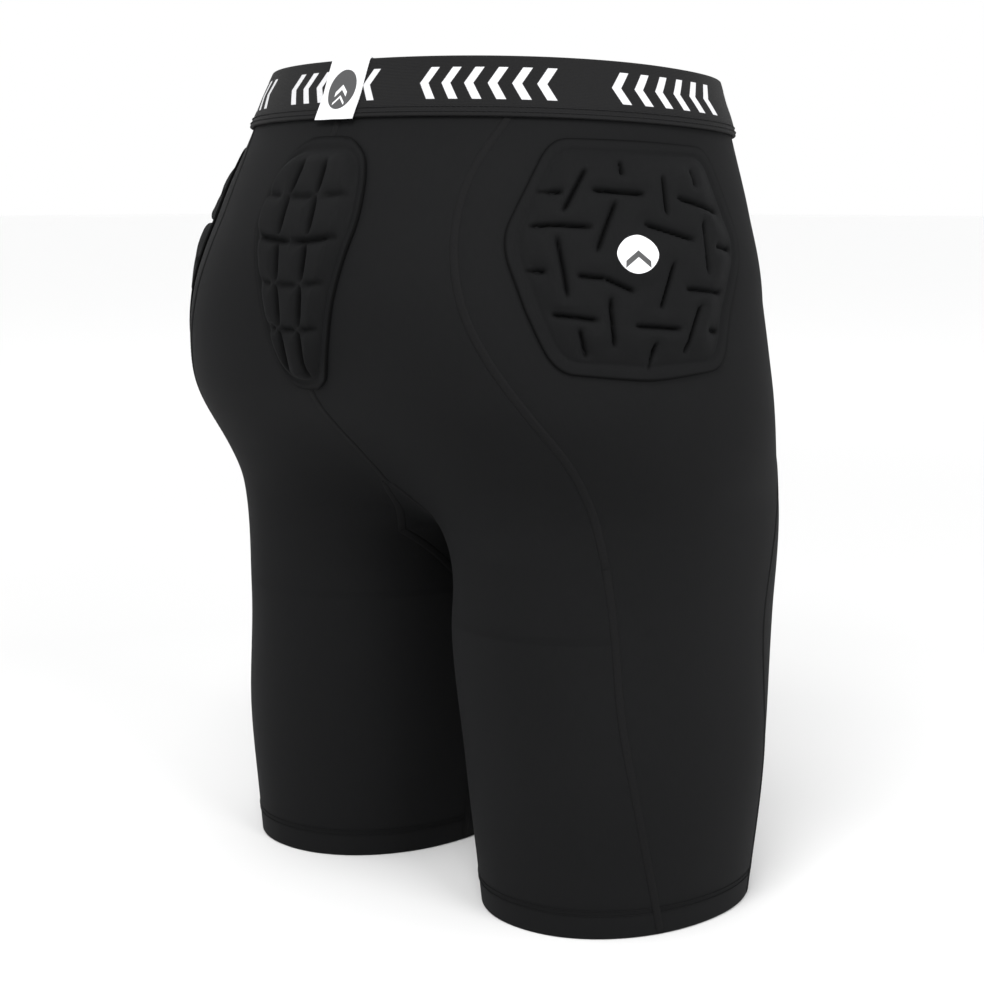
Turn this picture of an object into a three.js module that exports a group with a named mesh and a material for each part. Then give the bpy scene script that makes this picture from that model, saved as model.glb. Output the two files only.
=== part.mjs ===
// Padded impact shorts: knitted compression shorts with an elastic waistband, a moulded pad on
// each hip and one over the tailbone.
//
// The shorts are built on a body form, a closed surface worked out from a tailor's size chart.
// Every piece is a slab of that surface: a region of it, between two depths measured square to
// it. A place on the surface is (side, arc, height, depth). The side is +1 for the wearer's left
// and -1 for the right. The arc is the distance round the level ring through that height. It
// starts at the centre back, or at the inside of the thigh below the crotch, and goes round the
// outside to the front. The depth is 0 on the outer face of the fabric and grows outwards.
//
// Millimetres, +Z up, the wearer faces -Y, and the hems lie in the plane Z = 0.

import * as THREE from "three";

// ---- Driving sizes -------------------------------------------------------------------------

const INSEAM = 207; // hem to crotch
const RISE = 263; // crotch to the top of the waistband, at the side
const HIP_HALF_WIDTH = 173;
const HIP_HALF_DEPTH = 126;
const WAIST_TILT = 0.057; // the back of the waist stands this much higher per mm behind centre

const KNIT = 1.2; // thickness of the knitted fabric
const GAP = 0.3; // clearance left between pieces that are sewn or bonded together
const LINING_GAP = 0.9; // the same, inside the shorts, where one layer lies loose on another

const WAISTBAND_HEIGHT = 32;
const WAISTBAND_THICKNESS = 2.2;
const WAISTBAND_LAP = 7; // how far the elastic laps over the top of the panels

const HEM_DEPTH = 17; // height of the turned-up hem
const HEM_STITCH_WIDTH = 3.2;
const SEAM_WIDTH = 4.4; // a flatlock seam, across its stitches
const SEAM_HEIGHT = 0.7;
const SEAM_GAP = 0.5; // clearance between a seam and the panels it joins

const GUSSET_HALF_WIDTH = 20;
const GUSSET_DROP = 42; // how far its points reach down the thighs
const GUSSET_RISE = 40; // how far its back point reaches up
const POUCH_POINT_HALF_WIDTH = 8;
const POUCH_START = 36; // height of the pouch's lower end above the crotch

const LABEL_WIDTH = 30;
const LABEL_DROP = 31; // how far the label hangs down the outside of the band
const LABEL_THICKNESS = 0.5;
const PRINT_HALF_WIDTH = 10.5;
const PRINT_HALF_HEIGHT = 11;
const PRINT_THICKNESS = 0.4;

const PAD_BASE_GAP = 0.75; // clearance between the tailbone pad and the panel under it
const PAD_BASE_REACH = 140; // height of a hip pad that needs a clearance of 1 mm
const PAD_SKIN = 0.8; // cover over the moulded core
const CORE_EDGE = 1.4; // thickness of a core at its rim
const HIP_PAD_HEIGHT = 121;
const HIP_PAD_THICKNESS = 5;
const HIP_PAD_FLANGE = 7.5; // flat border round the core
const HIP_PAD_DROP = 10; // from the waistband down to its upper edge
const HIP_PAD_SHARE = 0.4; // its middle lies this share of the way round from the back
const TAIL_PAD_HEIGHT = 130;
const TAIL_PAD_THICKNESS = 5.5;
const TAIL_PAD_FLANGE = 5;
const TAIL_PAD_DROP = 9.5;
const TAIL_GROOVE = 2.1; // half the width of a groove between two tiles
const TAIL_GROOVE_DEPTH = 2.4;
const BACKING_THICKNESS = 0.8;
const EMBLEM_HALF_WIDTH = 11;
const EMBLEM_HALF_HEIGHT = 9;
const EMBLEM_THICKNESS = 0.5;

// ---- The body form -------------------------------------------------------------------------

// A level is 0 at the hem, 1 at the crotch and 2 at the top of the waistband.
const level = (share) => (share <= 1 ? share * INSEAM : INSEAM + (share - 1) * RISE);
const TOP = level(2);

// [level, half width, depth behind, depth in front], as shares of the hip sizes
const TRUNK = [
  [1.057, 0.725, 0.575, 0.594],
  [1.163, 0.877, 0.744, 0.739],
  [1.354, 0.972, 1.129, 0.816],
  [1.62, 1, 1.18, 0.822],
  [1.878, 0.884, 0.94, 0.835],
  [2, 0.792, 0.841, 0.885],
];

// [level, middle across, middle front to back, half width, depth behind, depth in front]
const LEG = [
  [0, 0.571, -0.055, 0.408, 0.699, 0.634],
  [0.386, 0.561, -0.017, 0.468, 0.692, 0.745],
  [0.773, 0.516, -0.042, 0.455, 0.773, 0.924],
  [1.087, 0.549, -0.032, 0.447, 0.771, 0.904],
  [1.316, 0.528, 0.079, 0.502, 0.874, 0.784],
  [1.525, 0.475, 0.118, 0.447, 0.894, 0.666],
];

const TRUNK_POWER = 2.2; // above 2, an ellipse grows squarer
const LEG_POWER = 2.1;
const LEG_BLEND = 24; // reach of the rounding between the legs
const HIP_BLEND = 50; // reach of the rounding between a leg and the trunk
const END_BLEND = 40; // reach of the rounding where the trunk and the legs end inside the form

const clamp = (v, low, high) => Math.min(Math.max(v, low), high);

function smoothstep(v) {
  const t = clamp(v, 0, 1);
  return t * t * (3 - 2 * t);
}

// A smooth curve through the rows' values, by height; the ends run on level.
function curve(rows, column, scale = 1) {
  const z = rows.map((row) => level(row[0]));
  const v = rows.map((row) => row[column] * scale);
  const last = rows.length - 1;
  const slope = rows.map((_, i) => {
    const a = Math.max(i - 1, 0);
    const b = Math.min(i + 1, last);
    return (v[b] - v[a]) / (z[b] - z[a]);
  });
  return (height) => {
    const at = clamp(height, z[0], z[last]);
    let i = 0;
    while (i < last - 1 && at > z[i + 1]) i += 1;
    const h = z[i + 1] - z[i];
    const t = (at - z[i]) / h;
    const rise = t * t * (3 - 2 * t);
    return (1 - rise) * v[i] + rise * v[i + 1]
      + t * (1 - t) * (1 - t) * h * slope[i] - t * t * (1 - t) * h * slope[i + 1];
  };
}

const trunkWidth = curve(TRUNK, 1, HIP_HALF_WIDTH);
const trunkBack = curve(TRUNK, 2, HIP_HALF_DEPTH);
const trunkFront = curve(TRUNK, 3, HIP_HALF_DEPTH);
const legAcross = curve(LEG, 1, HIP_HALF_WIDTH);
const legAlong = curve(LEG, 2, HIP_HALF_DEPTH);
const legWidth = curve(LEG, 3, HIP_HALF_WIDTH);
const legBack = curve(LEG, 4, HIP_HALF_DEPTH);
const legFront = curve(LEG, 5, HIP_HALF_DEPTH);

function smoothMin(a, b, reach) {
  const h = Math.max(reach - Math.abs(a - b), 0) / reach;
  return Math.min(a, b) - h * h * reach / 4;
}

const smoothMax = (a, b, reach) => -smoothMin(-a, -b, reach);

// Roughly the distance outside a squared-off ellipse, negative inside it.
function outside(dx, dy, a, b, power) {
  const rho = (Math.abs(dx / a) ** power + Math.abs(dy / b) ** power) ** (1 / power) + 1e-9;
  return Math.hypot(dx, dy) * (1 - 1 / rho);
}

function legForm(x, y, z) {
  const depth = y > legAlong(z) ? legBack(z) : legFront(z);
  const tube = outside(x - legAcross(z), y - legAlong(z), legWidth(z), depth, LEG_POWER);
  return smoothMax(tube, z - level(LEG[LEG.length - 1][0]), END_BLEND);
}

// Negative inside the body, positive outside it.
function form(x, y, z) {
  const legs = smoothMin(legForm(x, y, z), legForm(-x, y, z), LEG_BLEND);
  const depth = y > 0 ? trunkBack(z) : trunkFront(z);
  const tube = outside(x, y, trunkWidth(z), depth, TRUNK_POWER);
  const trunk = smoothMax(tube, level(TRUNK[0][0]) - z, END_BLEND);
  return smoothMin(legs, trunk, HIP_BLEND);
}

// Halves the interval until the sign change of f lies within it, f being negative at low.
function crossing(f, low, high) {
  let a = low;
  let b = high;
  for (let i = 0; i < 40; i += 1) {
    const middle = (a + b) / 2;
    if (f(middle) < 0) a = middle;
    else b = middle;
  }
  return (a + b) / 2;
}

// The saddle between the legs is the lowest height at which the form reaches the middle plane.
const SADDLE_Y = -0.048 * HIP_HALF_DEPTH;
const CROTCH = crossing((drop) => form(0, SADDLE_Y, INSEAM + 40 - drop), 0, 80) * -1 + INSEAM + 40;

// The rays that find a ring start on a spine. It runs up the middle of the leg, then leans out to
// the middle of that half of the waist.
function spineX(z) {
  const t = clamp((z - CROTCH) / (TOP - CROTCH), 0, 1);
  return legAcross(Math.min(z, CROTCH)) * (1 - t) + 0.45 * trunkWidth(TOP) * t;
}

// Angles turn from the inside (0) over the back and the outside to the front.
function ringPoint(angle, z) {
  const dx = -Math.cos(angle);
  const dy = Math.sin(angle);
  const sx = spineX(z);
  const far = dx < -1e-6 ? Math.min(260, -sx / dx) : 260;
  const reach = crossing((r) => form(sx + dx * r, SADDLE_Y + dy * r, z), 0, far);
  return [sx + dx * reach, SADDLE_Y + dy * reach];
}

const RING_STEPS = 180;
const rings = new Map();

function ring(z) {
  if (rings.has(z)) return rings.get(z);
  let start = 0;
  let end = 2 * Math.PI;
  if (z > CROTCH) {
    const sx = spineX(z);
    start = Math.atan2(crossing((d) => form(0, SADDLE_Y + d, z), 0, 220), sx);
    end -= Math.atan2(crossing((d) => form(0, SADDLE_Y - d, z), 0, 220), sx);
  }
  const angles = [];
  const arcs = [0];
  let before = null;
  for (let i = 0; i <= RING_STEPS; i += 1) {
    angles.push(start + (end - start) * i / RING_STEPS);
    const point = ringPoint(angles[i], z);
    if (before) arcs.push(arcs[i - 1] + Math.hypot(point[0] - before[0], point[1] - before[1]));
    before = point;
  }
  const made = { angles, arcs, length: arcs[RING_STEPS] };
  rings.set(z, made);
  return made;
}

function lookUp(from, to, value) {
  let low = 0;
  let high = from.length - 1;
  while (high - low > 1) {
    const middle = (low + high) >> 1;
    if (from[middle] <= value) low = middle;
    else high = middle;
  }
  return to[low] + (to[high] - to[low]) * (value - from[low]) / (from[high] - from[low]);
}

const ringLength = (z) => ring(z).length;
const arcAt = (halfTurns, z) => lookUp(ring(z).angles, ring(z).arcs, halfTurns * Math.PI);

// The direction square to the form. It lies level at the hem and the waist, so that the pieces
// there are cut off flat.
function normalAt(x, y, z) {
  const e = 0.05;
  const steep = smoothstep(z / 60) * smoothstep((TOP - z) / 60);
  return new THREE.Vector3(
    form(x + e, y, z) - form(x - e, y, z),
    form(x, y + e, z) - form(x, y - e, z),
    (form(x, y, z + e) - form(x, y, z - e)) * steep,
  ).normalize();
}

// The waist leans: everything above the seat rises with its distance behind the middle.
function lean(point) {
  const rise = smoothstep((point.z - level(1.354)) / (TOP - level(1.354)));
  return new THREE.Vector3(point.x, point.y, point.z + WAIST_TILT * point.y * rise);
}

// The place and its normal, before the waist leans. An arc past either end of the ring runs on
// over the middle plane to the other side.
function surface(side, arc, z) {
  const { angles, arcs, length } = ring(z);
  const over = arc < 0 || arc > length;
  const inside = arc < 0 ? -arc : over ? 2 * length - arc : arc;
  const [x, y] = ringPoint(lookUp(arcs, angles, inside), z);
  const normal = normalAt(x, y, z);
  const sign = over ? -side : side;
  return {
    point: new THREE.Vector3(sign * x, y, z),
    normal: new THREE.Vector3(sign * normal.x, normal.y, normal.z),
  };
}

function place(side, arc, z, depth) {
  const { point, normal } = surface(side, arc, z);
  return lean(point.addScaledVector(normal, depth));
}

// ---- Materials -----------------------------------------------------------------------------

const material = (color, roughness) => new THREE.MeshStandardMaterial({ color, roughness });

const KNIT_MATERIAL = material(0x26262a, 0.9);
const BAND_MATERIAL = material(0x3a3a3e, 0.85);
const THREAD_MATERIAL = material(0x1c1c20, 0.8);
const COVER_MATERIAL = material(0x222226, 0.75);
const FOAM_MATERIAL = material(0x3f4246, 0.9);
const LINING_MATERIAL = material(0x303034, 0.95);
const LABEL_MATERIAL = material(0xe8e8ea, 0.45);
const PRINT_MATERIAL = material(0x2b2c30, 0.6);
const EMBLEM_MATERIAL = material(0xa9abae, 0.5);

// ---- Solids --------------------------------------------------------------------------------

const group = new THREE.Group();
group.name = "padded_impact_shorts";

class Solid {
  constructor() {
    this.points = [];
    this.triangles = [];
    this.known = new Map();
  }

  vertex(point) {
    const key = point.toArray().map((v) => Math.round(v * 2000)).join();
    if (!this.known.has(key)) {
      this.known.set(key, this.points.length);
      this.points.push(point);
    }
    return this.known.get(key);
  }

  face(corners) {
    const ids = corners.filter((id, i) => id !== corners[(i + 1) % corners.length]);
    for (let i = 2; i < ids.length; i += 1) this.triangles.push([ids[0], ids[i - 1], ids[i]]);
  }

  volume() {
    const cross = new THREE.Vector3();
    return this.triangles.reduce((sum, [a, b, c]) => {
      cross.crossVectors(this.points[b], this.points[c]);
      return sum + this.points[a].dot(cross) / 6;
    }, 0);
  }

  add(name, meshMaterial) {
    if (this.volume() < 0) this.triangles.forEach((triangle) => triangle.reverse());
    const geometry = new THREE.BufferGeometry();
    const numbers = this.points.flatMap((point) => point.toArray());
    geometry.setAttribute("position", new THREE.Float32BufferAttribute(numbers, 3));
    geometry.setIndex(this.triangles.flat());
    geometry.computeVertexNormals();
    const mesh = new THREE.Mesh(geometry, meshMaterial);
    mesh.name = name;
    group.add(mesh);
  }
}

// A slab of the surface. Each patch is a grid, a list of rows of {side, arc, z, low, high}, and
// patches that share an edge are joined along it. Walls close the outer edges.
function slab(name, meshMaterial, patches) {
  const solid = new Solid();
  const under = new Map();
  const edges = new Map();
  const corner = (spot) => {
    const top = solid.vertex(place(spot.side, spot.arc, spot.z, spot.high));
    if (!under.has(top)) under.set(top, solid.vertex(place(spot.side, spot.arc, spot.z, spot.low)));
    return top;
  };
  for (const rows of patches) {
    const grid = rows.map((row) => row.map(corner));
    const mirrored = rows[0][0].side < 0;
    for (let i = 1; i < grid.length; i += 1) {
      for (let j = 1; j < grid[i].length; j += 1) {
        const quad = [grid[i - 1][j - 1], grid[i][j - 1], grid[i][j], grid[i - 1][j]];
        if (mirrored) quad.reverse();
        const ids = quad.filter((id, k) => id !== quad[(k + 1) % 4]);
        if (ids.length < 3) continue;
        solid.face(ids);
        solid.face([ids[0], ...ids.slice(1).reverse()].map((id) => under.get(id)));
        ids.forEach((id, k) => {
          const next = ids[(k + 1) % ids.length];
          const back = `${next},${id}`;
          if (edges.has(back)) edges.delete(back);
          else edges.set(`${id},${next}`, [id, next]);
        });
      }
    }
  }
  for (const [a, b] of edges.values()) solid.face([b, a, under.get(a), under.get(b)]);
  solid.add(name, meshMaterial);
}

// A run of equal sections. Each section lists its corners round the profile, so that the first
// and the last corner lie opposite each other, and so do the second and the last but one.
function sweep(name, meshMaterial, sections, closed) {
  const solid = new Solid();
  const loops = sections.map((section) => section.map((point) => solid.vertex(point)));
  const count = loops[0].length;
  const steps = closed ? loops.length : loops.length - 1;
  for (let i = 0; i < steps; i += 1) {
    const a = loops[i];
    const b = loops[(i + 1) % loops.length];
    for (let j = 0; j < count; j += 1) {
      const k = (j + 1) % count;
      solid.face([a[j], a[k], b[k], b[j]]);
    }
  }
  if (!closed) {
    const last = loops[loops.length - 1];
    for (let j = 0; j + 1 < count / 2; j += 1) {
      const k = count - 1 - j;
      solid.face([loops[0][k], loops[0][k - 1], loops[0][j + 1], loops[0][j]]);
      solid.face([last[j], last[j + 1], last[k - 1], last[k]]);
    }
  }
  solid.add(name, meshMaterial);
}

// A closed ring round one leg or round the waist, from a profile of [depth, height] corners.
function band(name, meshMaterial, side, profile, step) {
  const z0 = profile[0][1];
  const count = Math.round(ringLength(z0) / step);
  const station = (at, share) => profile.map(([depth, z]) => place(at, share * ringLength(z), z, depth));
  const sections = [];
  for (let i = 0; i < count; i += 1) sections.push(station(side, i / count));
  if (z0 > CROTCH) for (let i = count; i > 0; i -= 1) sections.push(station(-side, i / count));
  sweep(name, meshMaterial, sections, true);
}

// A flatlock seam: a raised strip that covers the join of two panels. The path is a list of
// [side, arc, height].
function seam(name, path) {
  const spots = path.map(([side, arc, z]) => surface(side, arc, z));
  const low = SEAM_GAP;
  const high = SEAM_GAP + SEAM_HEIGHT;
  const sections = spots.map(({ point, normal }, i) => {
    const next = spots[Math.min(i + 1, spots.length - 1)].point;
    const before = spots[Math.max(i - 1, 0)].point;
    const across = new THREE.Vector3().subVectors(next, before).cross(normal).normalize();
    const corners = [[-0.5, low], [-0.32, high], [0.32, high], [0.5, low]];
    return corners.map(([share, depth]) => lean(
      point.clone().addScaledVector(across, share * SEAM_WIDTH).addScaledVector(normal, depth),
    ));
  });
  sweep(name, THREAD_MATERIAL, sections, false);
}

// ---- Heights and seam lines ----------------------------------------------------------------

const PANEL_TOP = TOP - WAISTBAND_HEIGHT + WAISTBAND_LAP;
const BAND_FOOT = TOP - WAISTBAND_HEIGHT;
const GUSSET_FOOT = CROTCH - GUSSET_DROP;
const GUSSET_TOP = CROTCH + GUSSET_RISE;
const POUCH_FOOT = CROTCH + POUCH_START;
const TAIL_FOOT = BAND_FOOT - TAIL_PAD_DROP - TAIL_PAD_HEIGHT;

function spread(low, high, count) {
  return Array.from({ length: count + 1 }, (_, i) => low + (high - low) * i / count);
}

// Rows stand closer together near the crotch, where the rings change fastest.
const LEG_ROWS = [0, ...spread(HEM_DEPTH, GUSSET_FOOT, 5)];
const LOW_ROWS = [0.78, 0.52, 0.3, 0.13, 0.03, 0].map((t) => CROTCH - GUSSET_DROP * t);
const HIGH_ROWS = [0.04, 0.17, 0.38, 0.64].map((t) => CROTCH + GUSSET_RISE * t);
const CENTRE_ROWS = [POUCH_FOOT, GUSSET_TOP].sort((a, b) => a - b);
const TRUNK_ROWS = [
  ...spread(GUSSET_TOP, level(1.45), 6).slice(1),
  ...spread(level(1.45), level(1.79), 5).slice(1),
  ...spread(level(1.79), BAND_FOOT, 3).slice(1),
  PANEL_TOP,
];
const ROWS = [...LEG_ROWS, ...LOW_ROWS, ...HIGH_ROWS, ...CENTRE_ROWS, ...TRUNK_ROWS];

// Where the two side seams run, as [level, half turns round the spine].
const backSeam = curve([
  [0, 0.825], [0.25, 0.78], [0.55, 0.747], [0.82, 0.733], [1.06, 0.706], [1.21, 0.674],
  [1.32, 0.634], [1.43, 0.596], [1.54, 0.57], [1.68, 0.558], [1.78, 0.572], [1.88, 0.615],
  [2, 0.68],
], 1);
const frontSeam = curve([[0, 1.2], [0.6, 1.21], [1, 1.25], [1.5, 1.34], [2, 1.37]], 1);

// The arc at which a ring stands a given distance from the middle plane, near its inner end at
// the back or at the front.
function arcAtWidth(z, width, front) {
  const { angles } = ring(z);
  const low = front ? -angles[RING_STEPS] : angles[0];
  const high = front ? -1.5 * Math.PI : Math.PI / 2;
  const angle = crossing((a) => ringPoint(Math.abs(a), z)[0] - width, low, high);
  return arcAt(Math.abs(angle) / Math.PI, z);
}

// How far the edge of the gusset stands from the middle plane. Its points on the thighs lie on
// the inside of the leg, and its back point lies on the middle plane.
function gussetWidth(z, front) {
  if (z <= CROTCH) {
    const inside = ringPoint(0, GUSSET_FOOT)[0];
    const t = clamp((z - GUSSET_FOOT) / GUSSET_DROP, 0, 1);
    return inside + (GUSSET_HALF_WIDTH - inside) * t;
  }
  if (!front) return GUSSET_HALF_WIDTH * clamp((GUSSET_TOP - z) / GUSSET_RISE, 0, 1);
  const t = clamp((z - CROTCH) / POUCH_START, 0, 1);
  return GUSSET_HALF_WIDTH + (POUCH_POINT_HALF_WIDTH - GUSSET_HALF_WIDTH) * t;
}

// The arc of the gusset's back edge; outside its heights, the inner end of the ring.
function gussetArc(z) {
  return z <= GUSSET_FOOT || z >= GUSSET_TOP ? 0 : arcAtWidth(z, gussetWidth(z, false), false);
}

// The same for its front edge, which runs on as the edge of the pouch.
const pouchShape = curve([[1.13, 0], [1.3, 34], [1.5, 50], [1.75, 52], [2, 48]], 1);
function pouchArc(z) {
  if (z <= GUSSET_FOOT) return ringLength(z);
  if (z <= POUCH_FOOT) return arcAtWidth(z, gussetWidth(z, true), true);
  const width = POUCH_POINT_HALF_WIDTH + Math.max(pouchShape(z) - pouchShape(POUCH_FOOT), 0);
  return arcAtWidth(z, width, true);
}

// ---- Panels --------------------------------------------------------------------------------

// Rows of equal columns between two arcs, each a function of the height.
function grid(side, rows, from, to, columns, low, high) {
  return rows.map((z) => spread(from(z), to(z), columns).map((arc) => ({ side, arc, z, low, high })));
}

const SIDES = [[1, "left"], [-1, "right"]];
const HALF_GAP = GAP / 2;
const backArc = (z) => arcAt(backSeam(z), z);
const frontArc = (z) => arcAt(frontSeam(z), z);

for (const [side, word] of SIDES) {
  const panel = (name, from, to, columns) => {
    slab(`${name}_${word}`, KNIT_MATERIAL, [grid(side, ROWS, from, to, columns, -KNIT, 0)]);
  };
  panel("back_panel", (z) => gussetArc(z) + HALF_GAP, (z) => backArc(z) - HALF_GAP, 12);
  panel("side_panel", (z) => backArc(z) + HALF_GAP, (z) => frontArc(z) - HALF_GAP, 13);
  panel("front_panel", (z) => frontArc(z) + HALF_GAP, (z) => pouchArc(z) - HALF_GAP, 10);
}

// The gusset is a kite folded over the crotch: a point on each thigh, one up the back, and a
// short straight edge against the pouch. Eight patches meet at the crotch.
const gussetPatches = [];
for (const [side] of SIDES) {
  const low = -KNIT;
  const part = (rows, front) => rows.map((z) => {
    const end = front ? ringLength(z) : 0;
    const tip = z < GUSSET_FOOT + GAP * 3 || z > GUSSET_TOP - GAP * 3;
    const edge = tip ? end : front ? pouchArc(z) + HALF_GAP : gussetArc(z) - HALF_GAP;
    return spread(Math.min(edge, end), Math.max(edge, end), 4).map(
      (arc) => ({ side, arc, z, low, high: 0 }),
    );
  });
  const legRows = [GUSSET_FOOT + 2 * GAP, ...LOW_ROWS];
  const backRows = [CROTCH, ...HIGH_ROWS, GUSSET_TOP - 2 * GAP];
  const frontRows = [CROTCH, ...HIGH_ROWS, POUCH_FOOT - HALF_GAP];
  gussetPatches.push(part(legRows, false), part(legRows, true));
  gussetPatches.push(part(backRows, false), part(frontRows, true));
}
slab("crotch_gusset", KNIT_MATERIAL, gussetPatches);

// The pouch and its lining lie over the front middle, so their arcs run on past it.
const POUCH_ROWS = [POUCH_FOOT + HALF_GAP, ...ROWS.filter((z) => z > POUCH_FOOT + 3)];
const pouchEdge = (inset, sign) => (z) => (
  ringLength(z) + sign * (ringLength(z) - pouchArc(z) - inset)
);
slab("front_pouch", KNIT_MATERIAL, [
  grid(1, POUCH_ROWS, pouchEdge(HALF_GAP, -1), pouchEdge(HALF_GAP, 1), 10, -KNIT, 0),
]);
const liningTop = -KNIT - LINING_GAP;
const LINING_ROWS = POUCH_ROWS.filter((z) => z > POUCH_FOOT + 8);
slab("pouch_lining", LINING_MATERIAL, [
  grid(1, LINING_ROWS, pouchEdge(4, -1), pouchEdge(4, 1), 10, liningTop - KNIT, liningTop),
]);

// ---- Waistband and hems --------------------------------------------------------------------

const BAND_OUTSIDE = GAP + WAISTBAND_THICKNESS;
band("waistband_elastic", BAND_MATERIAL, 1, [
  [GAP, BAND_FOOT], [BAND_OUTSIDE, BAND_FOOT], [BAND_OUTSIDE, PANEL_TOP],
  [BAND_OUTSIDE, TOP], [GAP, TOP], [GAP, PANEL_TOP],
], 10);

const WAIST_STITCH = BAND_FOOT + WAISTBAND_LAP / 2;
const waistStitchLow = BAND_OUTSIDE + GAP;
band("waistband_stitching", THREAD_MATERIAL, 1, [
  [waistStitchLow, WAIST_STITCH - HEM_STITCH_WIDTH / 2],
  [waistStitchLow + SEAM_HEIGHT, WAIST_STITCH - HEM_STITCH_WIDTH / 3],
  [waistStitchLow + SEAM_HEIGHT, WAIST_STITCH + HEM_STITCH_WIDTH / 3],
  [waistStitchLow, WAIST_STITCH + HEM_STITCH_WIDTH / 2],
], 11);

const HEM_STITCH = HEM_DEPTH - HEM_STITCH_WIDTH / 2;
for (const [side, word] of SIDES) {
  band(`hem_facing_${word}`, KNIT_MATERIAL, side, [
    [liningTop - KNIT, 0], [liningTop, 0], [liningTop, HEM_DEPTH], [liningTop - KNIT, HEM_DEPTH],
  ], 12);
  band(`hem_stitching_${word}`, THREAD_MATERIAL, side, [
    [GAP, HEM_STITCH - HEM_STITCH_WIDTH / 2],
    [GAP + SEAM_HEIGHT, HEM_STITCH - HEM_STITCH_WIDTH / 3],
    [GAP + SEAM_HEIGHT, HEM_STITCH + HEM_STITCH_WIDTH / 3],
    [GAP, HEM_STITCH + HEM_STITCH_WIDTH / 2],
  ], 10);
}

// The label is a satin strip folded over the top of the band.
const labelOut = waistStitchLow + SEAM_HEIGHT + GAP;
const labelTop = TOP + GAP;
const labelIn = 0;
const labelFoot = PANEL_TOP + 4;
const LABEL_PROFILE = [
  [labelOut, TOP - LABEL_DROP], [labelOut, labelTop], [labelIn, labelTop], [labelIn, labelFoot],
  [labelIn - LABEL_THICKNESS, labelFoot], [labelIn - LABEL_THICKNESS, labelTop + LABEL_THICKNESS],
  [labelOut + LABEL_THICKNESS, labelTop + LABEL_THICKNESS],
  [labelOut + LABEL_THICKNESS, TOP - LABEL_DROP],
];
sweep("waistband_label", LABEL_MATERIAL, spread(-LABEL_WIDTH / 2, LABEL_WIDTH / 2, 4).map(
  (arc) => LABEL_PROFILE.map(([depth, z]) => place(1, arc, z, depth)),
), false);

// Rows of spots from the rim of a flat shape to its middle; outline lists the rim's corners.
function disc(side, outline, middleArc, middleZ, shares, low, high) {
  const loop = [...outline, outline[0]];
  return shares.map((share) => loop.map(([across, up]) => {
    const z = middleZ + up * share;
    return { side, arc: middleArc(z) + across * share, z, low, high };
  }));
}

const oval = (halfWidth, halfHeight, count) => spread(0, 2 * Math.PI, count).slice(0, -1).map(
  (a) => [halfWidth * Math.cos(a), halfHeight * Math.sin(a)],
);
const printLow = labelOut + LABEL_THICKNESS + GAP;
slab("label_print", PRINT_MATERIAL, [
  disc(1, oval(PRINT_HALF_WIDTH, PRINT_HALF_HEIGHT, 24), () => 0, TOP - LABEL_DROP / 2,
    [1, 0.5, 0], printLow, printLow + PRINT_THICKNESS),
]);

// ---- Flatlock seams ------------------------------------------------------------------------

const SEAM_FOOT = HEM_DEPTH + 2.5;
const SEAM_TOP = BAND_FOOT - 1;

function between(low, high) {
  const rows = ROWS.filter((z) => z > low + 2 && z < high - 2);
  return [low, ...rows, high];
}

// Each gusset seam starts where the two sides of a point stand clear of each other.
const pointClear = (SEAM_WIDTH / 2 + 2 * GAP) / GUSSET_HALF_WIDTH;
const THIGH_START = GUSSET_FOOT + GUSSET_DROP * pointClear * 1.15;
const BACK_END = GUSSET_TOP - GUSSET_RISE * pointClear * 1.15;

for (const [side, word] of SIDES) {
  const line = (rows, arc) => rows.map((z) => [side, arc(z), z]);
  seam(`back_side_seam_${word}`, line(between(SEAM_FOOT, SEAM_TOP), backArc));
  seam(`front_side_seam_${word}`, line(between(SEAM_FOOT, SEAM_TOP), frontArc));
  seam(`inseam_${word}`, line(between(SEAM_FOOT, GUSSET_FOOT - 1), () => 0));
  seam(`gusset_seam_${word}`, line(between(THIGH_START, BACK_END), gussetArc));
  seam(`pouch_seam_${word}`, line(between(THIGH_START, SEAM_TOP), pouchArc));
}
seam("centre_back_seam", between(GUSSET_TOP + 1, TAIL_FOOT - 1).map((z) => [1, 0, z]));

// ---- Pads ----------------------------------------------------------------------------------

const hipMiddleZ = BAND_FOOT - HIP_PAD_DROP - HIP_PAD_HEIGHT / 2;
const hipMiddleArc = (z) => HIP_PAD_SHARE * ringLength(z);

// The hip pad is a shield: corners as [across, up], shares of its height from its middle.
const HIP_CORNERS = [
  [-0.38, -0.445], [0.04, -0.49], [0.46, -0.455], [0.65, 0.07],
  [0.43, 0.5], [0.05, 0.505], [-0.345, 0.5], [-0.57, 0.07],
].map(([across, up]) => [across * HIP_PAD_HEIGHT, up * HIP_PAD_HEIGHT]);

// Every corner is rounded over a fifth of each edge that meets there.
function rounded(corners) {
  const mix = (p, q, t) => [p[0] + (q[0] - p[0]) * t, p[1] + (q[1] - p[1]) * t];
  return corners.flatMap((corner, i) => {
    const before = mix(corner, corners[(i + corners.length - 1) % corners.length], 0.2);
    const next = corners[(i + 1) % corners.length];
    const after = mix(corner, next, 0.2);
    const turn = mix(mix(before, corner, 0.5), mix(corner, after, 0.5), 0.5);
    return [before, turn, after, mix(corner, next, 0.5)];
  });
}

const HIP_OUTLINE = rounded(HIP_CORNERS);

// Height of a core's top above its base, at a distance inside its rim.
function domed(inside, thickness, ramp) {
  return CORE_EDGE + (thickness - CORE_EDGE) * smoothstep(inside / ramp);
}

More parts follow.
